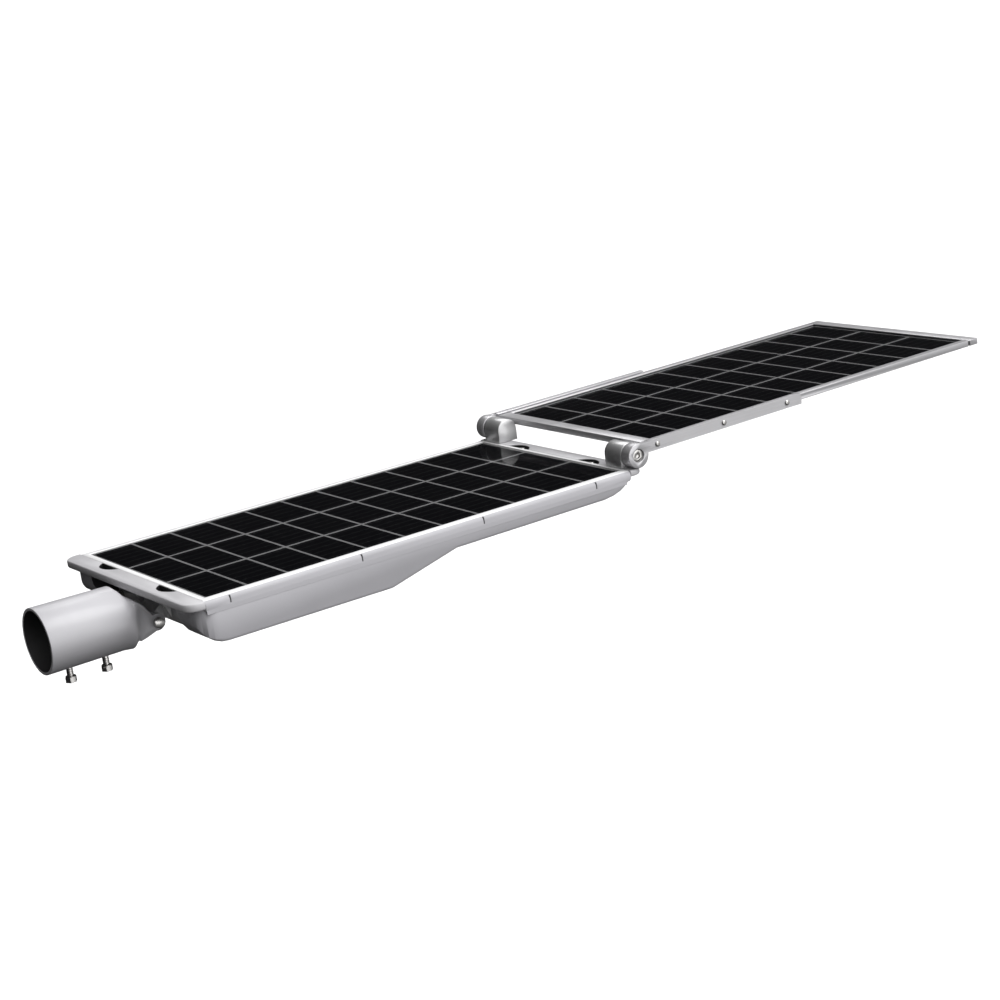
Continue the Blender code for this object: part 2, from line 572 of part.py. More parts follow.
# ---- panel hinge --------------------------------------------------------------------------------
def build_hinge(frame, mats):
    def block(name, sign):
        foot = RIM_TOP + GAP
        half = EYE_R - 0.0006
        outline = [(HINGE.x - half, foot), (HINGE.x + half, foot)] + arc((HINGE.x, HINGE.z), half, 0, 180, 12)
        obj = add(f"hinge_block_{name}", prism(outline, "Y", *span(sign, *BLOCK_Y)), frame, mats["cast"],
                  True)
        bore = rod("Y", (HINGE.x, 0, HINGE.z), HINGE_BOLT_R + GAP, *span(sign, 0.1050, 0.20), 16)
        cut(obj, frame, bore, rod("Z", (*block_screw(sign), 0), 0.0028, 0.0, 0.0080, 10))

    def bolt(name, sign):
        head = EYE_Y[1] - 0.0055
        bm = bmesh.new()
        turned(((sign * (head + 0.0042), 0.0066), (sign * head, 0.0066), (sign * head, HINGE_BOLT_R),
                (sign * 0.1060, HINGE_BOLT_R)), "Y", HINGE, 20, bm)
        obj = add(f"hinge_bolt_{name}", bm, frame, mats["steel"], True)
        cut(obj, frame, rod("Y", HINGE, 0.0032, *span(sign, head + 0.0015, 0.20), 6))

    def washer(name, sign):
        disc = rod("Y", HINGE, 0.0115, *span(sign, *WASHER_Y), 24)
        obj = add(f"friction_washer_{name}", disc, frame, mats["black"], True)
        cut(obj, frame, rod("Y", HINGE, HINGE_BOLT_R + GAP, *span(sign, 0.10, 0.15), 16))

    def block_bolt(name, sign):
        screw = pan_screw((*block_screw(sign), TAIL_SKIRT_Z - GAP), "Z", 0.0046, 0.0025, 0.0024, 0.0130, -1,
                          bmesh.new())
        add(f"hinge_block_screw_{name}", screw, frame, mats["steel"], True)

    for name, sign in SIDES:
        for make in (block, bolt, washer, block_bolt):
            make(name, sign)


# ---- fold-out panel -----------------------------------------------------------------------------
def build_arms(frame, mats):
    def arm(name, sign):
        strap_y = span(sign, EXT_OUTER_HALF + GAP, EYE_Y[1])
        eye = add(f"hinge_arm_{name}", rod("Y", (0, 0, 0), EYE_R, *span(sign, *EYE_Y), 32), frame,
                  mats["rail"], True)
        strap = prism([(0.0, ARM_Z[0]), (ARM_X, ARM_Z[0]), (ARM_X, ARM_Z[1] - 0.001),
                       (ARM_X - 0.001, ARM_Z[1]), (0.0, ARM_Z[1])], "Y", *strap_y)
        lip = box((EXT_OUTER[0], ARM_X - 0.0045), span(sign, EYE_Y[1] - ARM_LIP, EYE_Y[1] - 0.001),
                  (RAIL_Z[1] + GAP, ARM_Z[1] - 0.0002))
        join(eye, frame, strap, lip)
        holes = [rod("Y", (x, 0, ARM_SCREW_Z), 0.0019, *span(sign, 0.12, 0.20), 10) for x in ARM_SCREW_X]
        cut(eye, frame,
            rod("Y", (0, 0, 0), HINGE_BOLT_R + GAP, *span(sign, 0.12, 0.20), 16),
            rod("Y", (0, 0, 0), 0.0070, *span(sign, EYE_Y[1] - 0.0058, 0.20), 24), *holes)

    for name, sign in SIDES:
        arm(name, sign)
        for number, x in enumerate(ARM_SCREW_X, 1):
            screw = pan_screw((x, sign * (EYE_Y[1] + GAP), ARM_SCREW_Z), "Y", 0.0030, 0.0016, 0.0014,
                              0.0085, sign,
                              bmesh.new())
            add(f"arm_screw_{name}_{number}", screw, frame, mats["steel"], True)


def rail_section(web, reach):
    """Panel rail seen end on: width outwards from the inner lip, height up."""
    low, top = RAIL_Z
    return [(0.0, low), (0.0, top), (-reach, top), (-reach, LIP_Z), (-web, LIP_Z), (-web, low)]


def build_rails(frame, mats):
    x_in, x_out = EXT_OUTER
    end_reach = END_RAIL_W[1] + GAP

    def side_rail(name, sign):
        outline = [(sign * (EXT_OUTER_HALF + a), b) for a, b in rail_section(*SIDE_RAIL_W)]
        rail = add(f"panel_rail_{name}", prism(outline, "X", x_in + end_reach, x_out - end_reach), frame,
                   mats["rail"])
        holes = [rod("Y", (x, 0, ARM_SCREW_Z), 0.0019, *span(sign, 0.13, 0.20), 10) for x in ARM_SCREW_X]
        cut(rail, frame, *holes)

    for name, sign in SIDES:
        side_rail(name, sign)
    inner = [(x_in - a, b) for a, b in rail_section(*END_RAIL_W)]
    outer = [(x_out + a, b) for a, b in rail_section(*END_RAIL_W)]
    for name, outline in (("hinge_end", inner), ("tip_end", outer)):
        rail = add(f"panel_rail_{name}", prism(outline, "Y", -EXT_OUTER_HALF, EXT_OUTER_HALF), frame,
                   mats["rail"])
        if name == "hinge_end":
            cut(rail, frame, *[rod("Y", (ARM_SCREW_X[0], 0, ARM_SCREW_Z), 0.0019, *span(s, 0.13, 0.20),
                                   10) for s in (-1, 1)])


def build_ext_panel(frame, mats):
    x = (EXT_OUTER[0] + END_RAIL_W[0] + GAP, EXT_OUTER[1] - END_RAIL_W[0] - GAP)
    half = EXT_OUTER_HALF - SIDE_RAIL_W[0] - GAP
    z = EXT_CELL_Z
    add("fold_out_glass", box(x, (-half, half), (z + 0.0003, LIP_Z - GAP)), frame, mats["glass"])
    cells = box((EXT_X0, EXT_X0 + EXT_LENGTH), (-EXT_HALF, EXT_HALF), (z - 0.0003, z))
    add("fold_out_cells", cells, frame, mats["cell"])
    add("fold_out_backsheet", box(x, (-half, half), (z - 0.0011, z - 0.0006)), frame, mats["sheet"])
    floor = z - 0.0014
    junction = add("junction_box", box((0.0480, 0.1080), (-0.0260, 0.0260), (floor - 0.0130, floor)), frame,
                   mats["black"])
    round_edges(junction, 0.0015, 2)
    cut(junction, frame, box((0.0500, 0.1060), (-0.0240, 0.0240), (floor - 0.02, floor - 0.0020)))
    lid = add("junction_box_lid", box((0.0480, 0.1080), (-0.0260, 0.0260),
                                      (floor - 0.0158, floor - 0.0133)), frame,
              mats["black"])
    round_edges(lid, 0.0008, 1)
    gland = turned(((0.0, 0.0045), (0.0, 0.0060), (-0.0030, 0.0060), (-0.0030, 0.0052), (-0.0090, 0.0046)),
                   "X",
                   (0.0477, 0.0, floor - 0.0065), 16)
    add("junction_box_gland", gland, frame, mats["black"], True)


# ---- assembly -----------------------------------------------------------------------------------
def main():
    clear_scene()
    mats = {
        "spigot": finish("spigot_coat", (0.55, 0.55, 0.55), 0.42, 0.25),
        "body": finish("grey_powder_coat", (0.42, 0.42, 0.43), 0.50, 0.10),
        "bezel": finish("bezel_coat", (0.72, 0.72, 0.73), 0.38, 0.05),
        "cap": finish("cap_coat", (0.60, 0.60, 0.60), 0.40, 0.05),
        "cast": finish("cast_aluminium", (0.62, 0.62, 0.61), 0.35, 0.90),
        "rail": finish("anodised_rail", (0.60, 0.60, 0.60), 0.38, 0.80),
        "aluminium": finish("bare_aluminium", (0.70, 0.70, 0.70), 0.40, 0.90),
        "steel": finish("stainless_steel", (0.45, 0.45, 0.45), 0.30, 1.00),
        "black": finish("black_plastic", (0.02, 0.02, 0.02), 0.50, 0.00),
        "rubber": finish("black_rubber", (0.03, 0.03, 0.03), 0.80, 0.00),
        "glass": finish("panel_glass", (0.02, 0.02, 0.03), 0.10, 0.00),
        "cell": finish("silicon_cell", (0.01, 0.01, 0.02), 0.30, 0.00),
        "sheet": finish("backsheet", (0.80, 0.80, 0.80), 0.60, 0.00),
        "battery": finish("cell_wrap", (0.05, 0.20, 0.45), 0.40, 0.00),
        "board": finish("circuit_board", (0.02, 0.18, 0.06), 0.50, 0.00),
        "lens": finish("lens_plastic", (0.85, 0.88, 0.90), 0.10, 0.00),
        "red": finish("button_red", (0.50, 0.03, 0.03), 0.40, 0.00),
    }
    spigot = Frame("pole_spigot", (0, 0, 0))
    body = Frame("tilt_pivot", TILT_AXIS, PANEL_ORIGIN - TILT_AXIS)
    bay = Frame("light_bay", body.offset + Vector((BAY_X, 0, BAY_Z)), parent=body.empty, turn=-BAY_SLOPE)
    fold = Frame("fold_pivot", body.offset + HINGE, parent=body.empty, turn=-DEPLOYED)

    build_spigot(spigot, mats)
    build_tilt(body, mats)
    build_tub(body, bay, mats)
    build_bezel(body, mats)
    build_caps(body, mats)
    build_main_panel(body, mats)
    build_battery(body, mats)
    build_electronics(body, mats)
    build_button(body, mats)
    build_light_bay(bay, mats)
    build_hinge(body, mats)
    build_arms(fold, mats)
    build_rails(fold, mats)
    build_ext_panel(fold, mats)


main()
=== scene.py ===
"""Looks of a solar street lamp: finishes, fine detail, studio and camera round a fixed frame.

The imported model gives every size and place. Each sub-assembly is a class that refines its nodes and adds
the detail that repeats, such as cells, screws, threads and lenses, with Geometry Nodes. Lengths are metres.
"""
from __future__ import annotations

import json
import logging
import math
from dataclasses import dataclass
from enum import Enum
from typing import Any

import bmesh
import bpy
from mathutils import Matrix, Vector


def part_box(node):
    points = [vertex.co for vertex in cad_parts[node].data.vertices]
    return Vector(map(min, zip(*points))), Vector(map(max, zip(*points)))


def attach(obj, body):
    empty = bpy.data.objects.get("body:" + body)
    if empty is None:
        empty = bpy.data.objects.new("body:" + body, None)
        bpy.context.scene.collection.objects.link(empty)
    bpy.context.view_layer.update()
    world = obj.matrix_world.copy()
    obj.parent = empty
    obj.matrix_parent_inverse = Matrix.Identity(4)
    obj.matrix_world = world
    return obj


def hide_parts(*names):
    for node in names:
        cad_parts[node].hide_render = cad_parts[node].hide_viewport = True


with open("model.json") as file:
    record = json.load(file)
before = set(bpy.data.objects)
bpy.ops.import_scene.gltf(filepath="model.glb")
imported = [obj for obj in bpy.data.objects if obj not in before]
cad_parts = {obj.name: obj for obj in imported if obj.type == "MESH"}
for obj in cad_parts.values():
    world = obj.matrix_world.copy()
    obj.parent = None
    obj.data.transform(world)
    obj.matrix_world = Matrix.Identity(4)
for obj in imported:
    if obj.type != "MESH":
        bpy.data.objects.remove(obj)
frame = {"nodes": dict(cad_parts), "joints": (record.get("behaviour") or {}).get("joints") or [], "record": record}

LOG = logging.getLogger("street_lamp")
Colour = tuple[float, float, float]
Triple = tuple[float, float, float]

PANEL_X, PANEL_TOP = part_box("main_cells")[0].x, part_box("main_cells")[1].z + 0.0015
FOLD_TURN = math.radians(0.711)       # the open panel stands this much above the lamp's plane
BAY_TURN = math.radians(0.43)         # slope of the light bay


class Side(Enum):
    """Side of the lamp as seen from the pole, with its sign along Y."""

    RIGHT = -1
    LEFT = 1

    @property
    def word(self) -> str:
        """The word that node names use.

        Returns:
            "left" or "right".
        """
        return self.name.lower()


# ---- node graphs --------------------------------------------------------------------------------
class Value:
    """An output socket that does arithmetic with other sockets and numbers."""

    def __init__(self, graph: Graph, socket: bpy.types.NodeSocket) -> None:
        """Wraps a socket.

        Args:
            graph: The graph that the socket belongs to.
            socket: The output socket.
        """
        self.graph = graph
        self.socket = socket

    def _math(self, operation: str, *operands: Value | float) -> Value:
        """Adds a Math node.

        Args:
            operation: Blender's name of the operation.
            *operands: Its inputs in order.

        Returns:
            The result.
        """
        return self.graph.value("ShaderNodeMath", {"operation": operation}, dict(enumerate(operands)))

    def __add__(self, other: Value | float) -> Value:
        """Adds a value or number."""
        return self._math("ADD", self, other)

    __radd__ = __add__

    def __sub__(self, other: Value | float) -> Value:
        """Subtracts a value or number."""
        return self._math("SUBTRACT", self, other)

    def __rsub__(self, other: float) -> Value:
        """Subtracts this value from a number."""
        return self._math("SUBTRACT", other, self)

    def __mul__(self, other: Value | float) -> Value:
        """Multiplies by a value or number."""
        return self._math("MULTIPLY", self, other)

    __rmul__ = __mul__

    def __truediv__(self, other: Value | float) -> Value:
        """Divides by a value or number."""
        return self._math("DIVIDE", self, other)

    def __rtruediv__(self, other: float) -> Value:
        """Divides a number by this value."""
        return self._math("DIVIDE", other, self)

    def __lt__(self, other: Value | float) -> Value:
        """Gives 1 where this value is below the other, else 0."""
        return self._math("LESS_THAN", self, other)

    def __gt__(self, other: Value | float) -> Value:
        """Gives 1 where this value is above the other, else 0."""
        return self._math("GREATER_THAN", self, other)

    def fract(self) -> Value:
        """Takes the fractional part.

        Returns:
            The value's distance above the whole number below it.
        """
        return self._math("FRACT", self)

    def sine(self) -> Value:
        """Takes the sine.

        Returns:
            The sine of the value in radians.
        """
        return self._math("SINE", self)

    def either(self, other: Value) -> Value:
        """Takes the larger of two masks.

        Args:
            other: The other mask.

        Returns:
            The larger value.
        """
        return self._math("MAXIMUM", self, other)


class Graph:
    """A node tree that is filled by plain calls."""

    def __init__(self, tree: bpy.types.NodeTree) -> None:
        """Takes over a tree.

        Args:
            tree: The tree to fill.
        """
        self.tree = tree

    def node(self, kind: str, settings: dict[str, Any] | None = None,
             inputs: dict[Any, Any] | None = None) -> bpy.types.Node:
        """Adds a node.

        Args:
            kind: Blender's type name of the node.
            settings: Its properties, set before its inputs.
            inputs: Its inputs by name or number, each a Value or a constant.

        Returns:
            The node.
        """
        node = self.tree.nodes.new(kind)
        for name, setting in (settings or {}).items():
            setattr(node, name, setting)
        for key, given in (inputs or {}).items():
            if isinstance(given, Value):
                self.tree.links.new(given.socket, node.inputs[key])
            else:
                node.inputs[key].default_value = given
        return node

    def value(self, kind: str, settings: dict[str, Any] | None = None,
              inputs: dict[Any, Any] | None = None, output: Any = 0) -> Value:
        """Adds a node and takes one of its outputs.

        Args:
            kind: Blender's type name of the node.
            settings: Its properties.
            inputs: Its inputs.
            output: Name or number of the output.

        Returns:
            The output.
        """
        return Value(self, self.node(kind, settings, inputs).outputs[output])

    def place(self) -> Value:
        """Reads the point on the surface.

        Returns:
            The point in the object's own coordinates, in metres.
        """
        return self.value("ShaderNodeTexCoord", output="Object")

    def axes(self, vector: Value) -> tuple[Value, Value, Value]:
        """Splits a vector.

        Args:
            vector: The vector.

        Returns:
            Its three numbers.
        """
        node = self.node("ShaderNodeSeparateXYZ", inputs={0: vector})
        return tuple(Value(self, socket) for socket in node.outputs)

    def stretched(self, vector: Value, factors: Triple) -> Value:
        """Multiplies a vector along each axis.

        Args:
            vector: The vector.
            factors: One factor for each axis.

        Returns:
            The stretched vector.
        """
        return self.value("ShaderNodeVectorMath", {"operation": "MULTIPLY"}, {0: vector, 1: factors})

    def noise(self, at: Value, scale: float, detail: float = 3.0, rough: float = 0.55) -> Value:
        """Adds soft noise.

        Args:
            at: The point.
            scale: Patches per metre.
            detail: Number of finer layers.
            rough: Weight of the finer layers.

        Returns:
            A number around 0.5.
        """
        settings = {"noise_dimensions": "3D"}
        inputs = {"Vector": at, "Scale": scale, "Detail": detail, "Roughness": rough}
        return self.value("ShaderNodeTexNoise", settings, inputs)

    def cells(self, at: Value, scale: float, output: str = "Distance") -> Value:
        """Adds a cellular pattern.

        Args:
            at: The point.
            scale: Cells per metre.
            output: Which of the pattern's outputs to take.

        Returns:
            The chosen output.
        """
        return self.value("ShaderNodeTexVoronoi", {"feature": "F1"}, {"Vector": at, "Scale": scale}, output)

    def mix(self, share: Value | float, low: Any, high: Any) -> Value:
        """Mixes two colours.

        Args:
            share: How much of the second colour, from 0 to 1.
            low: The first colour, a Value or three numbers.
            high: The second colour.

        Returns:
            The mixed colour.
        """
        ends = [end if isinstance(end, Value) else (*end, 1.0) for end in (low, high)]
        return self.value("ShaderNodeMix", {"data_type": "RGBA"}, {0: share, 6: ends[0], 7: ends[1]}, 2)

    def between(self, number: Value, low: float, high: float) -> Value:
        """Maps noise from its usual spread to two numbers.

        Args:
            number: Noise between about 0.3 and 0.7.
            low: Result at the low end.
            high: Result at the high end.

        Returns:
            The mapped number.
        """
        inputs = {0: number, 1: 0.3, 2: 0.7, 3: low, 4: high}
        return self.value("ShaderNodeMapRange", {"clamp": True}, inputs)


# ---- finishes -----------------------------------------------------------------------------------
@dataclass(frozen=True)
class Finish:
    """A surface finish: a colour that drifts a little, a gloss that varies and a fine grain."""

    name: str
    colour: Colour
    roughness: float
    metallic: float = 0.0
    drift: float = 0.05
    drift_scale: float = 14.0
    polish: float = 0.05
    grain: float = 0.00004
    grain_scale: float = 1400.0
    stretch: Triple = (1.0, 1.0, 1.0)
    coat: float = 0.0
    ior: float = 1.5
    alpha: float = 1.0

    def pattern(self, graph: Graph, at: Value, colour: Value) -> Value:
        """Adds the pattern that this finish paints over its colour.

        Args:
            graph: The material's graph.
            at: The point on the surface.
            colour: The colour so far.

        Returns:
            The colour with the pattern.
        """
        return colour

    def relief(self, graph: Graph, at: Value) -> Value:
        """Makes the height of the surface's grain.

        Args:
            graph: The material's graph.
            at: The point on the surface.

        Returns:
            A height from 0 to 1.
        """
        return graph.noise(at, self.grain_scale, 2.0)

    def material(self) -> bpy.types.Material:
        """Builds the material.

        Returns:
            The new material.
        """
        made = bpy.data.materials.new(self.name)
        made.use_nodes = True
        made.diffuse_color = (*self.colour, 1.0)
        graph = Graph(made.node_tree)
        graph.tree.nodes.clear()
        at = graph.place()
        grown = graph.stretched(at, self.stretch)
        shades = [tuple(min(1.0, part * (1 + turn * self.drift)) for part in self.colour) for turn in (-1, 1)]
        patches = graph.between(graph.noise(at, self.drift_scale), 0.0, 1.0)
        colour = self.pattern(graph, at, graph.mix(patches, *shades))
        low, high = (max(0.03, self.roughness + turn * self.polish) for turn in (-1, 1))
        gloss = graph.between(graph.noise(grown, self.drift_scale * 5, 4.0), low, high)
        bump = graph.value("ShaderNodeBump", inputs={"Strength": 1.0, "Distance": self.grain,
                                                     "Height": self.relief(graph, grown)})
        shader = graph.node("ShaderNodeBsdfPrincipled", inputs={
            "Base Color": colour, "Roughness": gloss, "Normal": bump, "Metallic": self.metallic,
            "IOR": self.ior, "Alpha": self.alpha, "Coat Weight": self.coat, "Coat Roughness": 0.12})
        graph.node("ShaderNodeOutputMaterial", inputs={"Surface": Value(graph, shader.outputs[0])})
        return made


@dataclass(frozen=True)
class PowderCoat(Finish):
    """Baked powder paint with a fine orange-peel surface."""

    def relief(self, graph: Graph, at: Value) -> Value:
        """Makes the orange peel. See Finish.relief.

        Args:
            graph: The material's graph.
            at: The point on the surface.

        Returns:
            A height from 0 to 1.
        """
        return graph.noise(at, self.grain_scale, 2.0) * 0.7 + graph.cells(at, self.grain_scale * 0.6) * 0.3


@dataclass(frozen=True)
class CastMetal(Finish):
    """Sand-blasted casting with small pits."""

    def pattern(self, graph: Graph, at: Value, colour: Value) -> Value:
        """Darkens the pits. See Finish.pattern.

        Args:
            graph: The material's graph.
            at: The point on the surface.
            colour: The colour so far.

        Returns:
            The colour with darker pits.
        """
        pits = graph.between(graph.noise(at, 900.0, 4.0), 0.25, 0.0)
        return graph.mix(pits, colour, tuple(part * 0.7 for part in self.colour))

    def relief(self, graph: Graph, at: Value) -> Value:
        """Makes the blasted surface. See Finish.relief.

        Args:
            graph: The material's graph.
            at: The point on the surface.

        Returns:
            A height from 0 to 1.
        """
        return graph.noise(at, 900.0, 4.0) * 0.6 + graph.cells(at, 1600.0) * 0.4


@dataclass(frozen=True)
class DrawnMetal(Finish):
    """Metal with fine lines along the way it was drawn or ground, given by the stretch."""

    def pattern(self, graph: Graph, at: Value, colour: Value) -> Value:
        """Draws faint lines. See Finish.pattern.

        Args:
            graph: The material's graph.
            at: The point on the surface.
            colour: The colour so far.

        Returns:
            The lined colour.
        """
        lines = graph.between(graph.noise(graph.stretched(at, self.stretch), 700.0, 2.0), 0.0, 0.30)
        return graph.mix(lines, colour, tuple(part * 0.72 for part in self.colour))


@dataclass(frozen=True)
class SiliconCell(Finish):
    """Dark cell face with printed silver fingers and a faint mottle."""

    finger_pitch: float = 0.0018

    def pattern(self, graph: Graph, at: Value, colour: Value) -> Value:
        """Prints the fingers. See Finish.pattern.

        Args:
            graph: The material's graph.
            at: The point on the surface.
            colour: The colour so far.

        Returns:
            The colour with fingers.
        """
        along = graph.axes(at)[0]
        fingers = ((along / self.finger_pitch).fract() < 0.10) * 0.5
        mottled = graph.mix(graph.between(graph.noise(at, 160.0), 0.0, 0.5), colour, (0.002, 0.0022, 0.0035))
        return graph.mix(fingers, mottled, (0.010, 0.0105, 0.012))


@dataclass(frozen=True)
class Laminate(Finish):
    """Sheet behind the cells, with the weave of its glass scrim just showing."""

    def relief(self, graph: Graph, at: Value) -> Value:
        """Makes the scrim. See Finish.relief.

        Args:
            graph: The material's graph.
            at: The point on the surface.

        Returns:
            A height from 0 to 1.
        """
        x, y, _ = graph.axes(at)
        return (x * 5200.0).sine() * (y * 5200.0).sine() * 0.5 + 0.5


@dataclass(frozen=True)
class CircuitBoard(Finish):
    """Green board with copper tracks under the resist."""

    def pattern(self, graph: Graph, at: Value, colour: Value) -> Value:
        """Draws tracks and pads. See Finish.pattern.

        Args:
            graph: The material's graph.
            at: The point on the surface.
            colour: The colour so far.

        Returns:
            The colour with tracks.
        """
        x, y, _ = graph.axes(at)
        tracks = ((x * 260.0).fract() < 0.22).either((y * 190.0).fract() < 0.16)
        shown = tracks * (graph.noise(at, 70.0, 1.0) > 0.5)
        pads = graph.cells(at, 230.0) < 0.17
        tracked = graph.mix(shown * 0.8, colour, (0.05, 0.30, 0.11))
        return graph.mix(pads * 0.9, tracked, (0.55, 0.56, 0.55))


@dataclass(frozen=True)
class ShrinkWrap(Finish):
    """Tight plastic film with creases round its ends and the cells showing as bands."""

    def pattern(self, graph: Graph, at: Value, colour: Value) -> Value:
        """Shades the joints between cells. See Finish.pattern.

        Args:
            graph: The material's graph.
            at: The point on the surface.
            colour: The colour so far.

        Returns:
            The banded colour.
        """
        joints = (graph.axes(at)[1] * 14.8 + 0.5).fract() < 0.03
        return graph.mix(joints * 0.6, colour, tuple(part * 0.4 for part in self.colour))

    def relief(self, graph: Graph, at: Value) -> Value:
        """Creases the film. See Finish.relief.

        Args:
            graph: The material's graph.
            at: The point on the surface.

        Returns:
            A height from 0 to 1.
        """
        return graph.noise(graph.stretched(at, (1.0, 0.25, 1.0)), 260.0, 3.0)


FINISHES: dict[str, Finish] = {
    "spigot_coat": PowderCoat("spigot_paint", (0.43, 0.425, 0.445), 0.40, coat=0.10, grain=0.00002),
    "grey_powder_coat": PowderCoat("body_paint", (0.400, 0.395, 0.417), 0.44, drift=0.03, grain=0.00002),
    # Near white on the bezel's top: painted light from above, as the real bezel is in the body's grey coat.
    "bezel_coat": PowderCoat("bezel_paint", (0.80, 0.80, 0.805), 0.36, drift=0.02, grain=0.00001, coat=0.15),
    "cap_coat": PowderCoat("cap_plastic", (0.47, 0.465, 0.48), 0.42, drift=0.02, grain=0.00001),
    "cast_aluminium": CastMetal("cast_aluminium", (0.62, 0.62, 0.625), 0.36, metallic=0.75, grain=0.00003),
    "anodised_rail": DrawnMetal("anodised_rail", (0.52, 0.515, 0.53), 0.38, metallic=0.60, grain=0.00001,
                                stretch=(0.02, 1.0, 1.0)),
    "bare_aluminium": DrawnMetal("bare_aluminium", (0.70, 0.70, 0.71), 0.38, metallic=0.95, grain=0.00001,
                                 stretch=(1.0, 0.03, 1.0)),
    "stainless_steel": DrawnMetal("stainless_steel", (0.50, 0.49, 0.48), 0.24, metallic=1.0, grain=0.00001,
                                  stretch=(1.0, 1.0, 0.08)),
    "black_plastic": Finish("black_plastic", (0.014, 0.014, 0.015), 0.48, grain=0.00003),
    "black_rubber": Finish("black_rubber", (0.020, 0.020, 0.020), 0.75, grain=0.00005),
    "panel_glass": Finish("panel_glass", (0.002, 0.002, 0.003), 0.05, polish=0.01, grain=0.000001,
                          ior=1.22, alpha=0.30, grain_scale=60.0),
    "silicon_cell": SiliconCell("silicon_cell", (0.0012, 0.0013, 0.002), 0.40, grain=0.000001, ior=1.05),
    "backsheet": Laminate("backsheet", (0.55, 0.55, 0.56), 0.62, grain=0.00001),
    "cell_wrap": ShrinkWrap("shrink_wrap", (0.05, 0.19, 0.44), 0.30, coat=0.4, grain=0.0002),
    "circuit_board": CircuitBoard("circuit_board", (0.02, 0.16, 0.06), 0.42, coat=0.3),
    "lens_plastic": Finish("lens_plastic", (0.82, 0.84, 0.86), 0.10, polish=0.03, grain=0.000005, alpha=0.62,
                           coat=0.5),
    "button_red": Finish("button_red", (0.50, 0.03, 0.03), 0.34, coat=0.2, grain=0.00002),
    "led_phosphor": Finish("phosphor", (0.86, 0.72, 0.22), 0.55, grain=0.00003),
    "busbar": DrawnMetal("tinned_ribbon", (0.04, 0.04, 0.042), 0.45, metallic=0.3, grain=0.000002),
    # Near black: painted shade inside the spigot's bore and the bracket's recess.
    "recess_shade": PowderCoat("recess_paint", (0.012, 0.0115, 0.013), 0.70, grain=0.00002),
}


# ---- pieces -------------------------------------------------------------------------------------
class Workshop:
    """Makes pieces and hands them to the frame: one material for each finish, one body for each piece."""

    def __init__(self, record: dict[str, Any]) -> None:
        """Reads the record.

        Args:
            record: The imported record.
        """
        groups = record["behaviour"]["bodies"]
        self.body_of = {node: body for body, nodes in groups.items() for node in nodes}
        self.slot_of = {part["node"]: part["material_slot"] for part in record["subparts"]}
        self._made: dict[str, bpy.types.Material] = {}

    def paint(self, finish: str) -> bpy.types.Material:
        """Finds or builds a finish's material.

        Args:
            finish: Its key in FINISHES.

        Returns:
            The material.
        """
        if finish not in self._made:
            self._made[finish] = FINISHES[finish].material()
        return self._made[finish]

    def piece(self, name: str, mesh: bpy.types.Mesh, body: str,
              stands_for: tuple[str, ...] = ()) -> bpy.types.Object:
        """Puts a mesh in the scene and ties it to the frame.

        Args:
            name: The piece's name.
            mesh: Its mesh, in the frame's coordinates.
            body: The body that it rides on.
            stands_for: The nodes that it replaces.

        Returns:
            The piece.
        """
        made = bpy.data.objects.new(name, mesh)
        mesh.name = name
        bpy.context.scene.collection.objects.link(made)
        mesh.shade_smooth()
        mesh.set_sharp_from_angle(angle=math.radians(35))
        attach(made, body)
        if stands_for:
            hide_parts(*stands_for)
        LOG.info("%s: %d faces on %s", name, len(mesh.polygons), body)
        return made

    def refine(self, node: str, ease: float = 0.0004) -> bpy.types.Object:
        """Replaces a node by its own shape with whole faces, eased edges and its finish.

        Args:
            node: The node.
            ease: How far its sharp edges are rounded.

        Returns:
            The piece.
        """
        shape = bmesh.new()
        shape.from_mesh(frame["nodes"][node].data)
        bmesh.ops.remove_doubles(shape, verts=shape.verts, dist=2e-6)
        flat = math.radians(0.5)
        bmesh.ops.dissolve_limit(shape, angle_limit=flat, verts=shape.verts, edges=shape.edges)
        ease_edges(shape, ease)
        mesh = bpy.data.meshes.new(node)
        shape.to_mesh(mesh)
        shape.free()
        mesh.materials.clear()
        slot = self.slot_of[node]
        mesh.materials.append(self.paint(slot))
        return self.piece(f"{node}_finish", mesh, self.body_of[node], (node,))


def ease_edges(shape: bmesh.types.BMesh, ease: float) -> None:
    """Rounds sharp edges, leaving out those beside slivers too small for the rounding.

    Args:
        shape: The shape to change.
        ease: Width of the rounding; nothing changes at 0.
    """
    if ease <= 0.0:
        return
    def roomy(vert: bmesh.types.BMVert) -> bool:
        """Tells whether the edges at a corner are long enough to be eased."""
        return all(edge.calc_length() > 2.5 * ease for edge in vert.link_edges)
    sharp = [edge for edge in shape.edges if edge.is_manifold and edge.calc_face_angle() > math.radians(38)
             and all(roomy(vert) for vert in edge.verts)]
    if sharp:
        bmesh.ops.bevel(shape, geom=sharp, offset=ease, offset_type="OFFSET", segments=2, profile=0.5,
                        affect="EDGES", clamp_overlap=False)


def slab(x: tuple[float, float], y: tuple[float, float], z: tuple[float, float], ease: float = 0.0,
         place: Matrix | None = None) -> bpy.types.Mesh:
    """Makes a plate between pairs of limits.

    Args:
        x: Limits along X.
        y: Limits along Y.
        z: Limits along Z.
        ease: Rounding of its edges.
        place: Where the plate's own frame lies, if it isn't the row's.

    Returns:
        The mesh.
    """
    shape = bmesh.new()
    size = Vector((x[1] - x[0], y[1] - y[0], z[1] - z[0]))
    middle = Vector((sum(x), sum(y), sum(z))) / 2
    bmesh.ops.create_cube(shape, size=1.0, matrix=Matrix.Translation(middle) @ Matrix.Diagonal((*size, 1.0)))
    ease_edges(shape, ease)
    mesh = bpy.data.meshes.new("slab")
    shape.to_mesh(mesh)
    shape.free()
    if place:
        mesh.transform(place)
    return mesh


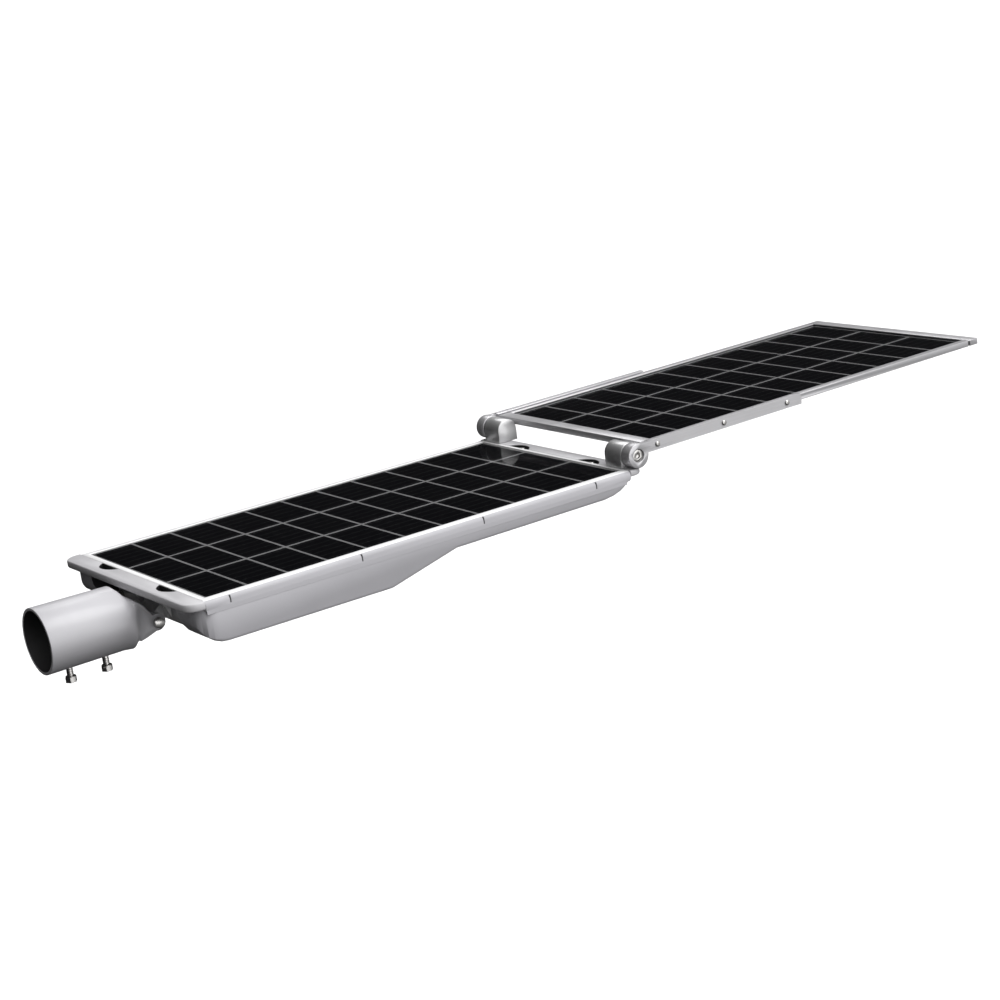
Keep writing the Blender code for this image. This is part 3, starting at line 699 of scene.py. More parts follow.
# ---- shapes from geometry nodes -----------------------------------------------------------------
class Pattern(Graph):
    """A Geometry Nodes tree with named inputs that ends in one realised mesh."""

    def __init__(self, name: str) -> None:
        """Starts the tree.

        Args:
            name: The tree's name.
        """
        super().__init__(bpy.data.node_groups.new(name, "GeometryNodeTree"))
        self.tree.interface.new_socket("Geometry", in_out="OUTPUT", socket_type="NodeSocketGeometry")
        self._entry = self.tree.nodes.new("NodeGroupInput")
        self._given: dict[str, Any] = {}

    def ask(self, name: str, kind: str, given: Any) -> Value:
        """Adds a named input and its setting.

        Args:
            name: The input's name.
            kind: "Float", "Int", "Vector" or "Material".
            given: What the modifier sets it to.

        Returns:
            The input as a value.
        """
        socket = self.tree.interface.new_socket(name, in_out="INPUT", socket_type=f"NodeSocket{kind}")
        self._given[socket.identifier] = given
        return Value(self, next(out for out in self._entry.outputs if out.identifier == socket.identifier))

    def coloured(self, shape: Value, material: Value) -> Value:
        """Sets a shape's material.

        Args:
            shape: The shape.
            material: The material.

        Returns:
            The shape with its material.
        """
        return self.value("GeometryNodeSetMaterial", inputs={"Geometry": shape, "Material": material})

    def moved(self, shape: Value, by: Any, turn: Triple = (0.0, 0.0, 0.0),
              scale: Triple = (1.0, 1.0, 1.0)) -> Value:
        """Moves a shape.

        Args:
            shape: The shape.
            by: The move.
            turn: Angles about the axes.
            scale: Factors along the axes.

        Returns:
            The moved shape.
        """
        inputs = {"Geometry": shape, "Translation": by, "Rotation": turn, "Scale": scale}
        return self.value("GeometryNodeTransform", inputs=inputs)

    def joined(self, *shapes: Value) -> Value:
        """Joins shapes.

        Args:
            *shapes: The shapes.

        Returns:
            All of them together.
        """
        node = self.node("GeometryNodeJoinGeometry")
        for shape in shapes:
            self.tree.links.new(shape.socket, node.inputs[0])
        return Value(self, node.outputs[0])

    def vector(self, x: Any, y: Any, z: Any) -> Value:
        """Puts three numbers together.

        Args:
            x: The first.
            y: The second.
            z: The third.

        Returns:
            The vector.
        """
        return self.value("ShaderNodeCombineXYZ", inputs={0: x, 1: y, 2: z})

    def copies(self, points: Value, shape: Value) -> Value:
        """Repeats a shape.

        Args:
            points: Where the copies go.
            shape: The shape.

        Returns:
            The copies.
        """
        return self.value("GeometryNodeInstanceOnPoints", inputs={"Points": points, "Instance": shape})

    def grid(self, columns: Value, rows: Value, pitch_x: Value, pitch_y: Value) -> Value:
        """Makes a grid of points round the origin.

        Args:
            columns: Points along X.
            rows: Points along Y.
            pitch_x: Their distance along X.
            pitch_y: Their distance along Y.

        Returns:
            The grid.
        """
        inputs = {"Size X": (columns - 1.0) * pitch_x, "Size Y": (rows - 1.0) * pitch_y,
                  "Vertices X": columns, "Vertices Y": rows}
        return self.value("GeometryNodeMeshGrid", inputs=inputs)

    def cylinder(self, radius: Any, depth: Any, sides: int) -> Value:
        """Makes a cylinder round Z.

        Args:
            radius: Its radius.
            depth: Its height.
            sides: Its number of sides.

        Returns:
            The cylinder.
        """
        return self.value("GeometryNodeMeshCylinder",
                          inputs={"Vertices": sides, "Radius": radius, "Depth": depth})

    def mesh(self, shape: Value, place: Matrix | None = None) -> bpy.types.Mesh:
        """Closes the tree and reads the mesh that it makes.

        Args:
            shape: The finished shape.
            place: Where the shape's own frame lies in the row's.

        Returns:
            The mesh, with the tree no longer attached.
        """
        whole = self.value("GeometryNodeRealizeInstances", inputs={0: shape})
        self.node("NodeGroupOutput", inputs={0: whole})
        carrier = bpy.data.objects.new("carrier", bpy.data.meshes.new("carrier"))
        bpy.context.scene.collection.objects.link(carrier)
        modifier = carrier.modifiers.new("pattern", "NODES")
        modifier.node_group = self.tree
        for identifier, given in self._given.items():
            modifier[identifier] = given
        graph = bpy.context.evaluated_depsgraph_get()
        made = bpy.data.meshes.new_from_object(carrier.evaluated_get(graph))
        bpy.data.objects.remove(carrier)
        if place:
            made.transform(place)
        return made


@dataclass(frozen=True)
class CellField:
    """The cells of one panel, each a thin tile with its ribbons."""

    columns: int = 11
    rows: int = 3
    gap_x: float = 0.0028
    gap_y: float = 0.0042
    thick: float = 0.00005
    ribbons: int = 6
    ribbon_width: float = 0.0005

    def mesh(self, length: float, width: float, shop: Workshop, place: Matrix) -> bpy.types.Mesh:
        """Builds the cells round the panel's middle, their faces at height 0.

        Args:
            length: The field's length along X.
            width: Its width along Y.
            shop: Where the materials come from.
            place: Where the panel's middle lies.

        Returns:
            The mesh.
        """
        tree = Pattern("cell_field")
        columns, rows = tree.ask("Columns", "Int", self.columns), tree.ask("Rows", "Int", self.rows)
        pitch_x = tree.ask("Pitch X", "Float", length / self.columns)
        pitch_y = tree.ask("Pitch Y", "Float", width / self.rows)
        gap_x, gap_y = tree.ask("Gap X", "Float", self.gap_x), tree.ask("Gap Y", "Float", self.gap_y)
        thick = tree.ask("Thickness", "Float", self.thick)
        ribbons = tree.ask("Ribbons", "Int", self.ribbons)
        broad = tree.ask("Ribbon Width", "Float", self.ribbon_width)
        silicon = tree.ask("Silicon", "Material", shop.paint("silicon_cell"))
        tin = tree.ask("Ribbon Metal", "Material", shop.paint("busbar"))
        tile = tree.value("GeometryNodeMeshCube",
                          inputs={"Size": tree.vector(pitch_x - gap_x, pitch_y - gap_y, thick)})
        tile = tree.coloured(tree.moved(tile, tree.vector(0.0, 0.0, thick * -0.5)), silicon)
        strip = tree.value("GeometryNodeMeshCube",
                           inputs={"Size": tree.vector(pitch_x - gap_x, broad, thick)})
        one = tree.ask("One", "Int", 1)
        line = tree.grid(one, ribbons, pitch_x, pitch_y / ribbons)
        strips = tree.coloured(tree.copies(line, tree.moved(strip, tree.vector(0.0, 0.0, thick * -0.2))), tin)
        cell = tree.joined(tile, strips)
        return tree.mesh(tree.copies(tree.grid(columns, rows, pitch_x, pitch_y), cell), place)


@dataclass(frozen=True)
class ScrewRing:
    """Pan-head screws evenly round a rectangle, heads pointing down."""

    count: int
    head: float = 0.0026
    height: float = 0.0011

    def mesh(self, length: float, width: float, shop: Workshop, place: Matrix) -> bpy.types.Mesh:
        """Builds the screws round the rectangle's middle, seated at height 0.

        Args:
            length: The rectangle's length along X.
            width: Its width along Y.
            shop: Where the materials come from.
            place: Where the rectangle's middle lies.

        Returns:
            The mesh.
        """
        tree = Pattern("screw_ring")
        count = tree.ask("Count", "Int", self.count)
        head, height = tree.ask("Head Radius", "Float", self.head), tree.ask("Head Height", "Float",
                                                                             self.height)
        size_x, size_y = tree.ask("Length", "Float", length), tree.ask("Width", "Float", width)
        steel = tree.ask("Steel", "Material", shop.paint("stainless_steel"))
        dark = tree.ask("Recess", "Material", shop.paint("black_plastic"))
        border = tree.value("GeometryNodeCurvePrimitiveQuadrilateral",
                            inputs={"Width": size_x, "Height": size_y})
        path = tree.value("GeometryNodeResampleCurve", inputs={"Curve": border, "Count": count})
        cap = tree.moved(tree.cylinder(head, height * 0.5, 20), tree.vector(0.0, 0.0, height * -0.25))
        dome = tree.moved(tree.cylinder(head * 0.72, height * 0.5, 20), tree.vector(0.0, 0.0, height * -0.75))
        # A flat black cross under each head: painted shade for the screwdriver recess.
        bars = [tree.value("GeometryNodeMeshCube", inputs={"Size": tree.vector(a, b, height * 0.1)})
                for a, b in ((head * 0.9, head * 0.2), (head * 0.2, head * 0.9))]
        cross = tree.coloured(tree.moved(tree.joined(*bars), tree.vector(0.0, 0.0, height * -1.02)), dark)
        screw = tree.joined(tree.coloured(tree.joined(cap, dome), steel), cross)
        return tree.mesh(tree.copies(path, screw), place)


@dataclass(frozen=True)
class Thread:
    """A screw thread round Z."""

    pitch: float = 0.00125
    ridge: float = 0.00034

    def mesh(self, radius: float, length: float, shop: Workshop, place: Matrix) -> bpy.types.Mesh:
        """Builds the thread from height 0 up.

        Args:
            radius: Radius of the ridge's middle.
            length: Threaded length.
            shop: Where the materials come from.
            place: Where the thread starts.

        Returns:
            The mesh.
        """
        tree = Pattern("thread")
        reach = tree.ask("Radius", "Float", radius)
        tall = tree.ask("Length", "Float", length)
        turns = tree.ask("Turns", "Float", length / self.pitch)
        ridge = tree.ask("Ridge", "Float", self.ridge)
        steel = tree.ask("Steel", "Material", shop.paint("stainless_steel"))
        inputs = {"Resolution": 24, "Rotations": turns, "Start Radius": reach, "End Radius": reach,
                  "Height": tall}
        spiral = tree.value("GeometryNodeCurveSpiral", inputs=inputs)
        profile = tree.value("GeometryNodeCurvePrimitiveCircle", inputs={"Resolution": 6, "Radius": ridge})
        swept = tree.value("GeometryNodeCurveToMesh", inputs={"Curve": spiral, "Profile Curve": profile,
                                                             "Fill Caps": True})
        return tree.mesh(tree.coloured(swept, steel), place)


@dataclass(frozen=True)
class LensField:
    """A clear plate with a moulded dome over each light."""

    columns: int = 3
    rows: int = 8
    pitch_x: float = 0.0400
    pitch_y: float = 0.0240
    dome: float = 0.0085
    rise: float = 0.0050
    chip: float = 0.0046

    def domes(self, shop: Workshop, place: Matrix) -> bpy.types.Mesh:
        """Builds the domes, pointing down from height 0.

        Args:
            shop: Where the materials come from.
            place: Where the field's middle lies.

        Returns:
            The mesh.
        """
        tree = Pattern("lens_domes")
        clear = tree.ask("Clear", "Material", shop.paint("lens_plastic"))
        radius, rise = tree.ask("Dome", "Float", self.dome), tree.ask("Rise", "Float", self.rise)
        ball = tree.value("GeometryNodeMeshUVSphere", inputs={"Segments": 28, "Rings": 14, "Radius": 1.0})
        bowl = tree.value("GeometryNodeTransform",
                          inputs={"Geometry": ball, "Scale": tree.vector(radius, radius, rise)})
        return tree.mesh(tree.coloured(tree.copies(self._field(tree), bowl), clear), place)

    def chips(self, shop: Workshop, place: Matrix) -> bpy.types.Mesh:
        """Builds a square light with a white frame under each dome.

        Args:
            shop: Where the materials come from.
            place: Where the field's middle lies, at the lights' face.

        Returns:
            The mesh.
        """
        tree = Pattern("light_chips")
        glow = tree.ask("Phosphor", "Material", shop.paint("led_phosphor"))
        metal = tree.ask("Base", "Material", shop.paint("bare_aluminium"))
        size = tree.ask("Size", "Float", self.chip)
        lit = tree.value("GeometryNodeMeshCube",
                         inputs={"Size": tree.vector(size * 0.7, size * 0.7, size * 0.08)})
        base = tree.value("GeometryNodeMeshCube", inputs={"Size": tree.vector(size, size, size * 0.06)})
        low = tree.moved(tree.coloured(base, metal), tree.vector(0.0, 0.0, size * 0.05))
        chip = tree.joined(tree.coloured(lit, glow), low)
        return tree.mesh(tree.copies(self._field(tree), chip), place)

    def _field(self, tree: Pattern) -> Value:
        """Lays out the lights.

        Args:
            tree: The tree that needs them.

        Returns:
            Their points.
        """
        columns, rows = tree.ask("Columns", "Int", self.columns), tree.ask("Rows", "Int", self.rows)
        return tree.grid(columns, rows, tree.ask("Pitch X", "Float", self.pitch_x),
                         tree.ask("Pitch Y", "Float", self.pitch_y))

@dataclass(frozen=True)
class Ribs:
    """Straight raised ribs side by side."""

    count: int
    width: float
    height: float

    def mesh(self, length: float, spread: float, shop: Workshop, finish: str,
             place: Matrix) -> bpy.types.Mesh:
        """Builds ribs along X round the middle, standing on height 0.

        Args:
            length: Length of a rib.
            spread: Distance between the outer ribs along Y.
            shop: Where the material comes from.
            finish: Its key in FINISHES.
            place: Where the middle lies.

        Returns:
            The mesh.
        """
        tree = Pattern("ribs")
        count, one = tree.ask("Count", "Int", self.count), tree.ask("One", "Int", 1)
        far = tree.ask("Pitch", "Float", spread / max(1, self.count - 1))
        long, broad = tree.ask("Length", "Float", length), tree.ask("Width", "Float", self.width)
        tall = tree.ask("Height", "Float", self.height)
        paint = tree.ask("Finish", "Material", shop.paint(finish))
        rib = tree.value("GeometryNodeMeshCube", inputs={"Size": tree.vector(long, broad, tall)})
        rib = tree.moved(rib, tree.vector(0.0, 0.0, tall * 0.5))
        return tree.mesh(tree.coloured(tree.copies(tree.grid(one, count, far, far), rib), paint), place)


@dataclass(frozen=True)
class KnurlRing:
    """Grip ribs round an X axis."""

    count: int
    rib: float

    def mesh(self, radius: float, length: float, shop: Workshop, finish: str,
             place: Matrix) -> bpy.types.Mesh:
        """Builds the ribs round the origin, running along X.

        Args:
            radius: Where the ribs' middles lie.
            length: Their length.
            shop: Where the material comes from.
            finish: Its key in FINISHES.
            place: Where the ring's middle lies.

        Returns:
            The mesh.
        """
        tree = Pattern("knurl_ring")
        count = tree.ask("Count", "Int", self.count)
        reach, long = tree.ask("Radius", "Float", radius), tree.ask("Length", "Float", length)
        size = tree.ask("Rib", "Float", self.rib)
        paint = tree.ask("Finish", "Material", shop.paint(finish))
        ring = tree.value("GeometryNodeMeshCircle", inputs={"Vertices": count, "Radius": reach})
        rib = tree.cylinder(size, long, 8)
        stood = tree.moved(tree.coloured(tree.copies(ring, rib), paint), (0.0, 0.0, 0.0),
                           (0.0, math.pi / 2, 0.0))
        return tree.mesh(stood, place)


# ---- the lamp -----------------------------------------------------------------------------------
@dataclass(frozen=True)
class Spigot:
    """The pole socket with its two set bolts and the tilt joint."""

    bolt_radius: float = 0.0030
    thread_length: float = 0.0078
    bore_radius: float = 0.0304

    def dress(self, shop: Workshop) -> None:
        """Builds the joint's pieces.

        Args:
            shop: The workshop.
        """
        socket = shop.refine("spigot", 0.0004)
        socket.data.materials.append(shop.paint("recess_shade"))
        # Faces inside the bore take the near-black finish as painted shade.
        for face in socket.data.polygons:
            inside = math.hypot(face.center.y, face.center.z) < self.bore_radius
            if inside and face.center.x < 0.080 and (abs(face.normal.x) < 0.9 or face.center.x > 0.07):
                face.material_index = 1
        shop.refine("tilt_bracket", 0.0005)
        for node in ("tilt_bolt", "tilt_nut", "bracket_bolt_1", "bracket_bolt_2"):
            shop.refine(node, 0.0003)
        spigot_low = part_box("spigot")[0].z
        for node in ("set_bolt_outer", "set_bolt_inner"):
            shop.refine(node, 0.0003)
            low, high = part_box(node)
            place = Matrix.Translation(((low.x + high.x) / 2, 0.0, spigot_low - 0.0084))
            mesh = Thread().mesh(self.bolt_radius, self.thread_length, shop, place)
            shop.piece(f"{node}_thread", mesh, node)


@dataclass(frozen=True)
class Housing:
    """The tub, the bezel and the two end caps with their pockets."""

    notch_half: float = 0.0951
    notch_x: float = 0.0102
    # Half-width inside which the bezel's top keeps its painted light.
    white_half: float = 0.1345
    skirt_level: float = 0.0285
    slit_x: tuple[float, ...] = (0.0174, 0.1611, 0.3033, 0.4442)
    slit_z: tuple[float, float] = (-0.0073, -0.0006)
    seam_x: tuple[float, float] = (-0.0075, 0.4838)
    seam_z: tuple[float, float] = (-0.0125, -0.0085)
    seam_half: float = 0.13805
    seam_thick: float = 0.0004
    # Size and inset of the black slabs that paint shade into the slits.
    hook_size: tuple[float, float] = (0.0011, 0.0024)
    hook_inset: float = 0.0016
    pocket_chord: float = 0.0189
    pocket_depth: float = 0.0104
    pocket_inside: float = 0.95

    def dress(self, shop: Workshop) -> None:
        """Builds the housing's pieces.

        Args:
            shop: The workshop.
        """
        tub = shop.refine("lower_housing", 0.0003)
        self._shade_recess(tub.data, shop)
        bezel = shop.refine("bezel_frame", 0.0003)
        # The bezel's top keeps the near-white paint as painted light; its sides and skirt take the body's grey
        # coat.
        bezel.data.materials.append(shop.paint("grey_powder_coat"))
        for face in bezel.data.polygons:
            if abs(face.center.y) > self.white_half or face.center.z < self.skirt_level:
                face.material_index = 1
        self._darken_slits(shop)
        self._cover_seam(shop)
        for cap in ("pole_end_cap", "hinge_end_cap"):
            shop.refine(cap, 0.0003)
        for gasket in ("panel_gasket", "battery_door_seal"):
            shop.refine(gasket, 0.0)
        for end, sign in (("pole", -1), ("hinge", 1)):
            for side in Side:
                shop.refine(f"{end}_cap_screw_{side.word}", 0.0002)
                self._line_pocket(end, sign, side, shop)

    def _shade_recess(self, mesh: bpy.types.Mesh, shop: Workshop) -> None:
        """Paints the inside of the bracket's recess near black, as painted shade.

        Args:
            mesh: The tub's mesh.
            shop: The workshop.
        """
        mesh.materials.append(shop.paint("recess_shade"))
        # Faces in the recess take painted shade.
        for face in mesh.polygons:
            if face.center.x < PANEL_X + self.notch_x and abs(face.center.y) < self.notch_half:
                face.material_index = 1

    def _cover_seam(self, shop: Workshop) -> None:
        """Puts a thin strip in body paint over the joint between the bezel and the tub, along both sides.

        Args:
            shop: The workshop.
        """
        start, end = self.seam_x
        for side in Side:
            shape = bmesh.new()
            middle = Vector((PANEL_X + (start + end) / 2, side.value * (self.seam_half - self.seam_thick / 2),
                             PANEL_TOP + sum(self.seam_z) / 2))
            size = Matrix.Diagonal((end - start, self.seam_thick, self.seam_z[1] - self.seam_z[0], 1.0))
            bmesh.ops.create_cube(shape, size=1.0, matrix=Matrix.Translation(middle) @ size)
            mesh = bpy.data.meshes.new("seam_strip")
            shape.to_mesh(mesh)
            shape.free()
            mesh.materials.append(shop.paint("grey_powder_coat"))
            shop.piece(f"seam_strip_{side.word}", mesh, "lamp_body")

    def _darken_slits(self, shop: Workshop) -> None:
        """Puts thin black slabs in the slits along both sides as painted shade.

        Args:
            shop: The workshop.
        """
        shape = bmesh.new()
        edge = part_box("bezel_frame")[1].y
        for x in self.slit_x:
            for side in Side:
                middle = Vector((PANEL_X + x + 0.0006, side.value * (edge - self.hook_inset),
                                 PANEL_TOP + sum(self.slit_z) / 2))
                size = Matrix.Diagonal((*self.hook_size, self.slit_z[1] - self.slit_z[0], 1.0))
                bmesh.ops.create_cube(shape, size=1.0, matrix=Matrix.Translation(middle) @ size)
        mesh = bpy.data.meshes.new("snap_hooks")
        shape.to_mesh(mesh)
        shape.free()
        mesh.materials.append(shop.paint("black_plastic"))
        shop.piece("snap_hooks", mesh, "lamp_body")

    def _line_pocket(self, end: str, sign: int, side: Side, shop: Workshop) -> None:
        """Puts a thin black half-moon lining over a screw pocket's floor and walls.

        Args:
            end: The cap's end, "pole" or "hinge".
            sign: Which way the pocket reaches along X.
            side: The pocket's side.
            shop: The workshop.
        """
        low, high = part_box(f"{end}_end_cap")
        edge = high.x if sign < 0 else low.x
        screw_low, screw_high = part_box(f"{end}_cap_screw_{side.word}")
        middle_y = (screw_low.y + screw_high.y) / 2
        floor = screw_high.z - 0.0026 - 0.0003
        radius = (self.pocket_chord ** 2 + self.pocket_depth ** 2) / (2 * self.pocket_depth)
        sweep = math.asin(self.pocket_chord / radius)
        middle_x = edge + sign * (self.pocket_depth - radius)
        start = 0.0 if sign > 0 else math.pi
        angles = [start - sweep + 2 * sweep * step / 20 for step in range(21)]
        shape = bmesh.new()
        rim = [Vector((middle_x + radius * math.cos(a), middle_y + radius * math.sin(a),
                       0.0)) for a in angles]
        centre = sum(rim, Vector()) / len(rim)
        inner = [centre + (point - centre) * self.pocket_inside for point in rim]
        top = high.z - 0.0006
        rings = [[shape.verts.new(point + Vector((0, 0, z))) for point in line]
                 for line, z in ((rim, floor), (rim, top), (inner, top), (inner, floor + 0.0003))]
        for first, second in zip(rings, rings[1:]):
            for n in range(len(angles)):
                after = (n + 1) % len(angles)
                shape.faces.new((first[n], first[after], second[after], second[n]))
        shape.faces.new(rings[3])
        shape.faces.new(list(reversed(rings[0])))
        bmesh.ops.recalc_face_normals(shape, faces=shape.faces)
        mesh = bpy.data.meshes.new("pocket")
        shape.to_mesh(mesh)
        shape.free()
        mesh.materials.append(shop.paint("black_plastic"))
        shop.piece(f"{end}_pocket_{side.word}", mesh, "lamp_body")


@dataclass(frozen=True)
class Panel:
    """One solar laminate: cells on their sheet under clear glass."""

    name: str
    body: str
    cells: CellField = CellField()

    def dress(self, shop: Workshop, middle: Matrix, field: tuple[float, float], plate: tuple[float, float],
              glass: tuple[float, float], depth: float) -> None:
        """Builds the laminate round its middle, the cells' faces at height 0.

        Args:
            shop: The workshop.
            middle: Where the panel's middle lies.
            field: Length and width of the cells' field.
            plate: Length and width of the glass.
            glass: Lowest and highest level of the glass.
            depth: Level of the sheet's underside.
        """
        half = (plate[0] / 2, plate[1] / 2)
        mesh = self.cells.mesh(*field, shop, middle)
        shop.piece(f"{self.name}_cell_field", mesh, self.body, (f"{self.name}_cells",))
        limits = ((-half[0], half[0]), (-half[1], half[1]))
        sheet = slab(*limits, (depth, -self.cells.thick), 0.0, middle)
        sheet.materials.append(shop.paint("backsheet"))
        shop.piece(f"{self.name}_laminate", sheet, self.body, (f"{self.name}_backsheet",))
        cover = slab(*limits, glass, 0.0, middle)
        cover.materials.append(shop.paint("panel_glass"))
        shop.piece(f"{self.name}_cover_glass", cover, self.body, (f"{self.name}_glass",))


@dataclass(frozen=True)
class PowerPack:
    """Battery, its door, the charge controller, the button and the vent."""

    door_screws: int = 12
    door_border: float = 0.0030

    def dress(self, shop: Workshop) -> None:
        """Builds the pieces behind and in the deep half of the tub.

        Args:
            shop: The workshop.
        """
        for node, ease in (("battery_door", 0.0004), ("battery_holder", 0.0004), ("battery_pack_1", 0.0006),
                           ("battery_pack_2", 0.0006), ("charge_controller", 0.0003), ("button_collar",
                                                                                       0.0004),
                           ("power_button", 0.0004), ("vent_plug", 0.0004)):
            shop.refine(node, ease)
        low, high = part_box("battery_door")
        middle = (low + high) / 2
        place = Matrix.Translation((middle.x, middle.y, low.z))
        size = high - low
        mesh = ScrewRing(self.door_screws).mesh(size.x - 2 * self.door_border, size.y - 2 * self.door_border,
                                                shop, place)
        shop.piece("battery_door_screws", mesh, "lamp_body")


@dataclass(frozen=True)
class LightBay:
    """The clear plate, its domes and frame, and the lights on their board."""

    field: LensField = LensField()
    frame_screws: int = 14
    frame_border: float = 0.0040

    def dress(self, shop: Workshop) -> None:
        """Builds the light bay.

        Args:
            shop: The workshop.
        """
        for node, ease in (("lens_frame", 0.0003), ("lens_seal", 0.0), ("led_board", 0.0003)):
            shop.refine(node, ease)
        low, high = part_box("lens_frame")
        middle = (low + high) / 2
        place = Matrix.Translation(middle) @ Matrix.Rotation(-BAY_TURN, 4, "Y")
        lens = place @ Matrix.Translation((0.0, 0.0, 0.00105))
        board = place @ Matrix.Translation((0.0, 0.0, 0.0040))
        under = place @ Matrix.Translation((0.0, 0.0, -0.00075))
        shop.piece("lens_domes", self.field.domes(shop, lens), "lamp_body", ("lens_plate",))
        sheet = slab((-0.0597, 0.0597), (-0.1037, 0.1037), (0.0, 0.0017), 0.0003, lens)
        sheet.materials.append(shop.paint("lens_plastic"))
        shop.piece("lens_sheet", sheet, "lamp_body")
        shop.piece("light_chips", self.field.chips(shop, board), "lamp_body")
        size = high - low
        ring = ScrewRing(self.frame_screws, 0.0022, 0.0009)
        screws = ring.mesh(size.x - 2 * self.frame_border, size.y - 2 * self.frame_border, shop, under)
        shop.piece("lens_frame_screws", screws, "lamp_body")


@dataclass(frozen=True)
class PanelHinge:
    """The two hinge blocks with their bolts and friction washers."""

    def dress(self, shop: Workshop) -> None:
        """Builds the hinge.

        Args:
            shop: The workshop.
        """
        for side in Side:
            for kind, ease in (("hinge_block", 0.0006), ("hinge_block_screw", 0.0003), ("hinge_bolt", 0.0003),
                               ("friction_washer", 0.0)):
                shop.refine(f"{kind}_{side.word}", ease)


@dataclass(frozen=True)
class FoldOut:
    """The second panel's arms, rails and junction box."""

    rib_count: int = 4

    def dress(self, shop: Workshop, hinge: Matrix) -> None:
        """Builds the fold-out frame.

        Args:
            shop: The workshop.
            hinge: Where the panel's own frame lies, its origin on the hinge axis.
        """
        for side in Side:
            shop.refine(f"hinge_arm_{side.word}", 0.0005)
            shop.refine(f"panel_rail_{side.word}", 0.0004)
            for number in (1, 2, 3):
                shop.refine(f"arm_screw_{side.word}_{number}", 0.0002)
            place = hinge @ Matrix.Translation((0.120, side.value * 0.1362, 0.0118))
            mesh = Ribs(self.rib_count, 0.0005, 0.0004).mesh(0.206, 0.0048, shop, "anodised_rail", place)
            shop.piece(f"arm_ribs_{side.word}", mesh, "fold_out_panel")
        for node in ("panel_rail_hinge_end", "panel_rail_tip_end"):
            shop.refine(node, 0.0004)
        for node in ("junction_box", "junction_box_lid", "junction_box_gland"):
            shop.refine(node, 0.0003)
        low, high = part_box("junction_box_gland")
        middle = (low + high) / 2
        place = Matrix.Translation((high.x - 0.0016, middle.y, middle.z)) @ Matrix.Rotation(-FOLD_TURN, 4,
                                                                                            "Y")
        mesh = KnurlRing(18, 0.0004).mesh((high.z - low.z) / 2 - 0.0002, 0.0024, shop, "black_plastic", place)
        shop.piece("junction_box_gland_ribs", mesh, "fold_out_panel")


# ---- studio -------------------------------------------------------------------------------------
@dataclass(frozen=True)
class Studio:
    """A plain pale floor, a soft sky that is brighter on one side, and three soft suns."""

    floor_level: float = -0.9
    floor_half: float = 300.0
    sky_towards: Triple = (0.36, -0.58, 0.73)
    sky_low: float = 0.03
    sky_high: float = 1.0
    key_towards: Triple = (0.30, -0.48, 0.82)
    key_power: float = 2.2
    back_towards: Triple = (0.35, 0.60, 0.72)
    back_power: float = 0.6
    fill_towards: Triple = (0.25, -0.95, 0.10)
    fill_power: float = 0.9

    def build(self) -> None:
        """Sets up floor, sky, suns and the plain view transform."""
        self._floor()
        self._sky()
        self._sun("key_sun", self.key_towards, self.key_power, 40.0)
        self._sun("back_sun", self.back_towards, self.back_power, 30.0)
        self._sun("fill_sun", self.fill_towards, self.fill_power, 50.0)
        bpy.context.scene.view_settings.view_transform = "Standard"

    def _floor(self) -> None:
        """Lays the floor. It lights nothing, so undersides keep their own shade."""
        h, z = self.floor_half, self.floor_level
        mesh = bpy.data.meshes.new("floor")
        mesh.from_pydata([(-h, -h, z), (h, -h, z), (h, h, z), (-h, h, z)], [], [(0, 1, 2, 3)])
        mesh.materials.append(Finish("floor_paint", (0.93, 0.93, 0.93), 0.9, drift=0.005).material())
        floor = bpy.data.objects.new("floor", mesh)
        floor.visible_diffuse = False
        floor.visible_glossy = False
        floor.visible_transmission = False
        bpy.context.scene.collection.objects.link(floor)

    def _sky(self) -> None:
        """Makes the sky."""
        world = bpy.data.worlds.new("sky")
        world.use_nodes = True
        graph = Graph(world.node_tree)
        graph.tree.nodes.clear()
        look = graph.value("ShaderNodeTexCoord", output="Generated")
        facing = graph.value("ShaderNodeVectorMath", {"operation": "DOT_PRODUCT"},
                             {0: look, 1: tuple(Vector(self.sky_towards).normalized())}, "Value")
        inputs = {0: facing, 1: -0.05, 2: 0.9, 3: self.sky_low, 4: self.sky_high}
        bright = graph.value("ShaderNodeMapRange", {"interpolation_type": "SMOOTHSTEP"}, inputs)
        shader = graph.node("ShaderNodeBackground",
                            inputs={"Color": (1.0, 1.0, 1.0, 1.0), "Strength": bright})
        graph.node("ShaderNodeOutputWorld", inputs={"Surface": Value(graph, shader.outputs[0])})
        bpy.context.scene.world = world

    def _sun(self, name: str, towards: Triple, power: float, spread: float) -> None:
        """Adds a sun.

        Args:
            name: Its name.
            towards: Direction from the object to the sun.
            power: Its strength.
            spread: Its apparent size in degrees.
        """
        light = bpy.data.lights.new(name, "SUN")
        light.energy = power
        light.angle = math.radians(spread)
        sun = bpy.data.objects.new(name, light)
        sun.rotation_euler = Vector(towards).to_track_quat("Z", "Y").to_euler()
        bpy.context.scene.collection.objects.link(sun)


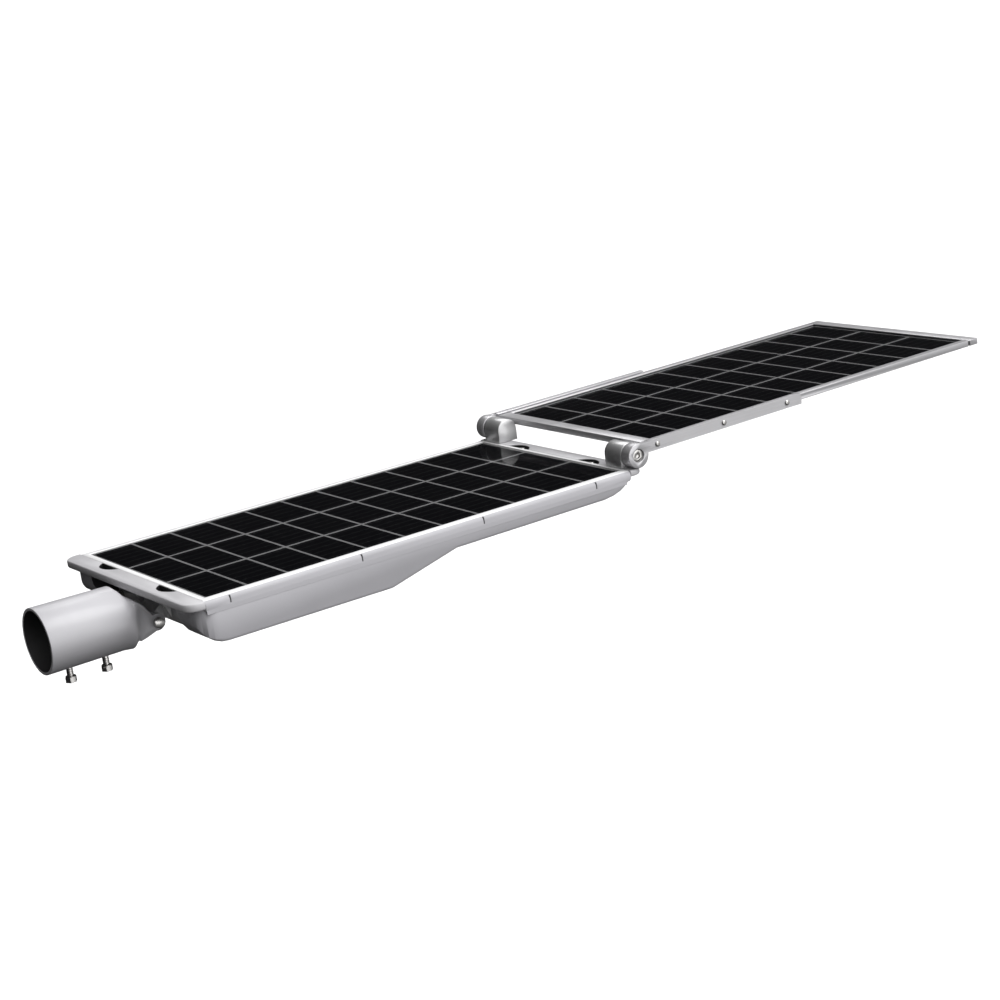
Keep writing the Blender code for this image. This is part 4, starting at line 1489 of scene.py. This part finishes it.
@dataclass(frozen=True)
class Viewpoint:
    """The camera: slightly above the lamp, beside the pole end, rolled a little."""

    place: Triple = (-0.71314, -1.91637, 0.59910)
    forward: Triple = (0.5284, 0.8105, -0.2529)
    roll: float = math.radians(-7.548)
    lens: float = 79.63

    def build(self) -> None:
        """Adds the camera and makes it the scene's."""
        ahead = Vector(self.forward).normalized()
        level = ahead.cross(Vector((0, 0, 1))).normalized()
        above = level.cross(ahead)
        right = level * math.cos(self.roll) + above * math.sin(self.roll)
        up = above * math.cos(self.roll) - level * math.sin(self.roll)
        data = bpy.data.cameras.new("viewpoint")
        data.lens = self.lens
        data.sensor_width = 36.0
        data.clip_end = 2000.0
        camera = bpy.data.objects.new("viewpoint", data)
        turn = Matrix((right, up, -ahead)).transposed().to_4x4()
        camera.matrix_world = Matrix.Translation(self.place) @ turn
        bpy.context.scene.collection.objects.link(camera)
        bpy.context.scene.camera = camera


def panel_middle(node: str, face: float) -> tuple[Vector, Vector]:
    """Finds a panel node's middle and size.

    Args:
        node: The node.
        face: Height of the middle that is wanted.

    Returns:
        The middle at that height, and the node's size.
    """
    low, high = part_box(node)
    middle = (low + high) / 2
    middle.z = face
    return middle, high - low


def main() -> None:
    """Builds the lamp, the studio and the camera."""
    logging.basicConfig(level=logging.INFO, format="%(message)s")
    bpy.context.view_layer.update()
    shop = Workshop(frame["record"])
    Viewpoint().build()
    Studio().build()
    Spigot().dress(shop)
    Housing().dress(shop)
    PowerPack().dress(shop)
    LightBay().dress(shop)
    PanelHinge().dress(shop)

    face = PANEL_TOP - 0.0003
    middle, size = panel_middle("main_cells", face)
    plate = panel_middle("main_glass", face)[1]
    Panel("main", "lamp_body").dress(shop, Matrix.Translation(middle), (size.x, size.y), (plate.x, plate.y),
                                     (0.0001, 0.0006), -0.0022)

    pivot = Vector(next(j["pos_m"] for j in frame["joints"] if j["name"] == "panel_fold"))
    hinge = Matrix.Translation(pivot) @ Matrix.Rotation(-FOLD_TURN, 4, "Y")
    FoldOut().dress(shop, hinge)
    low, high = (hinge.inverted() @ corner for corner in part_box("fold_out_cells"))
    glass_low, glass_high = (hinge.inverted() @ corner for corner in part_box("fold_out_glass"))
    middle = Vector(((low.x + high.x) / 2, 0.0, 0.0072))
    plate = glass_high - glass_low
    Panel("fold_out", "fold_out_panel").dress(shop, hinge @ Matrix.Translation(middle),
                                              (high.x - low.x, high.y - low.y),
                                              (plate.x, plate.y), (0.0003, 0.0012), -0.0011)


if __name__ == "__main__":
    main()
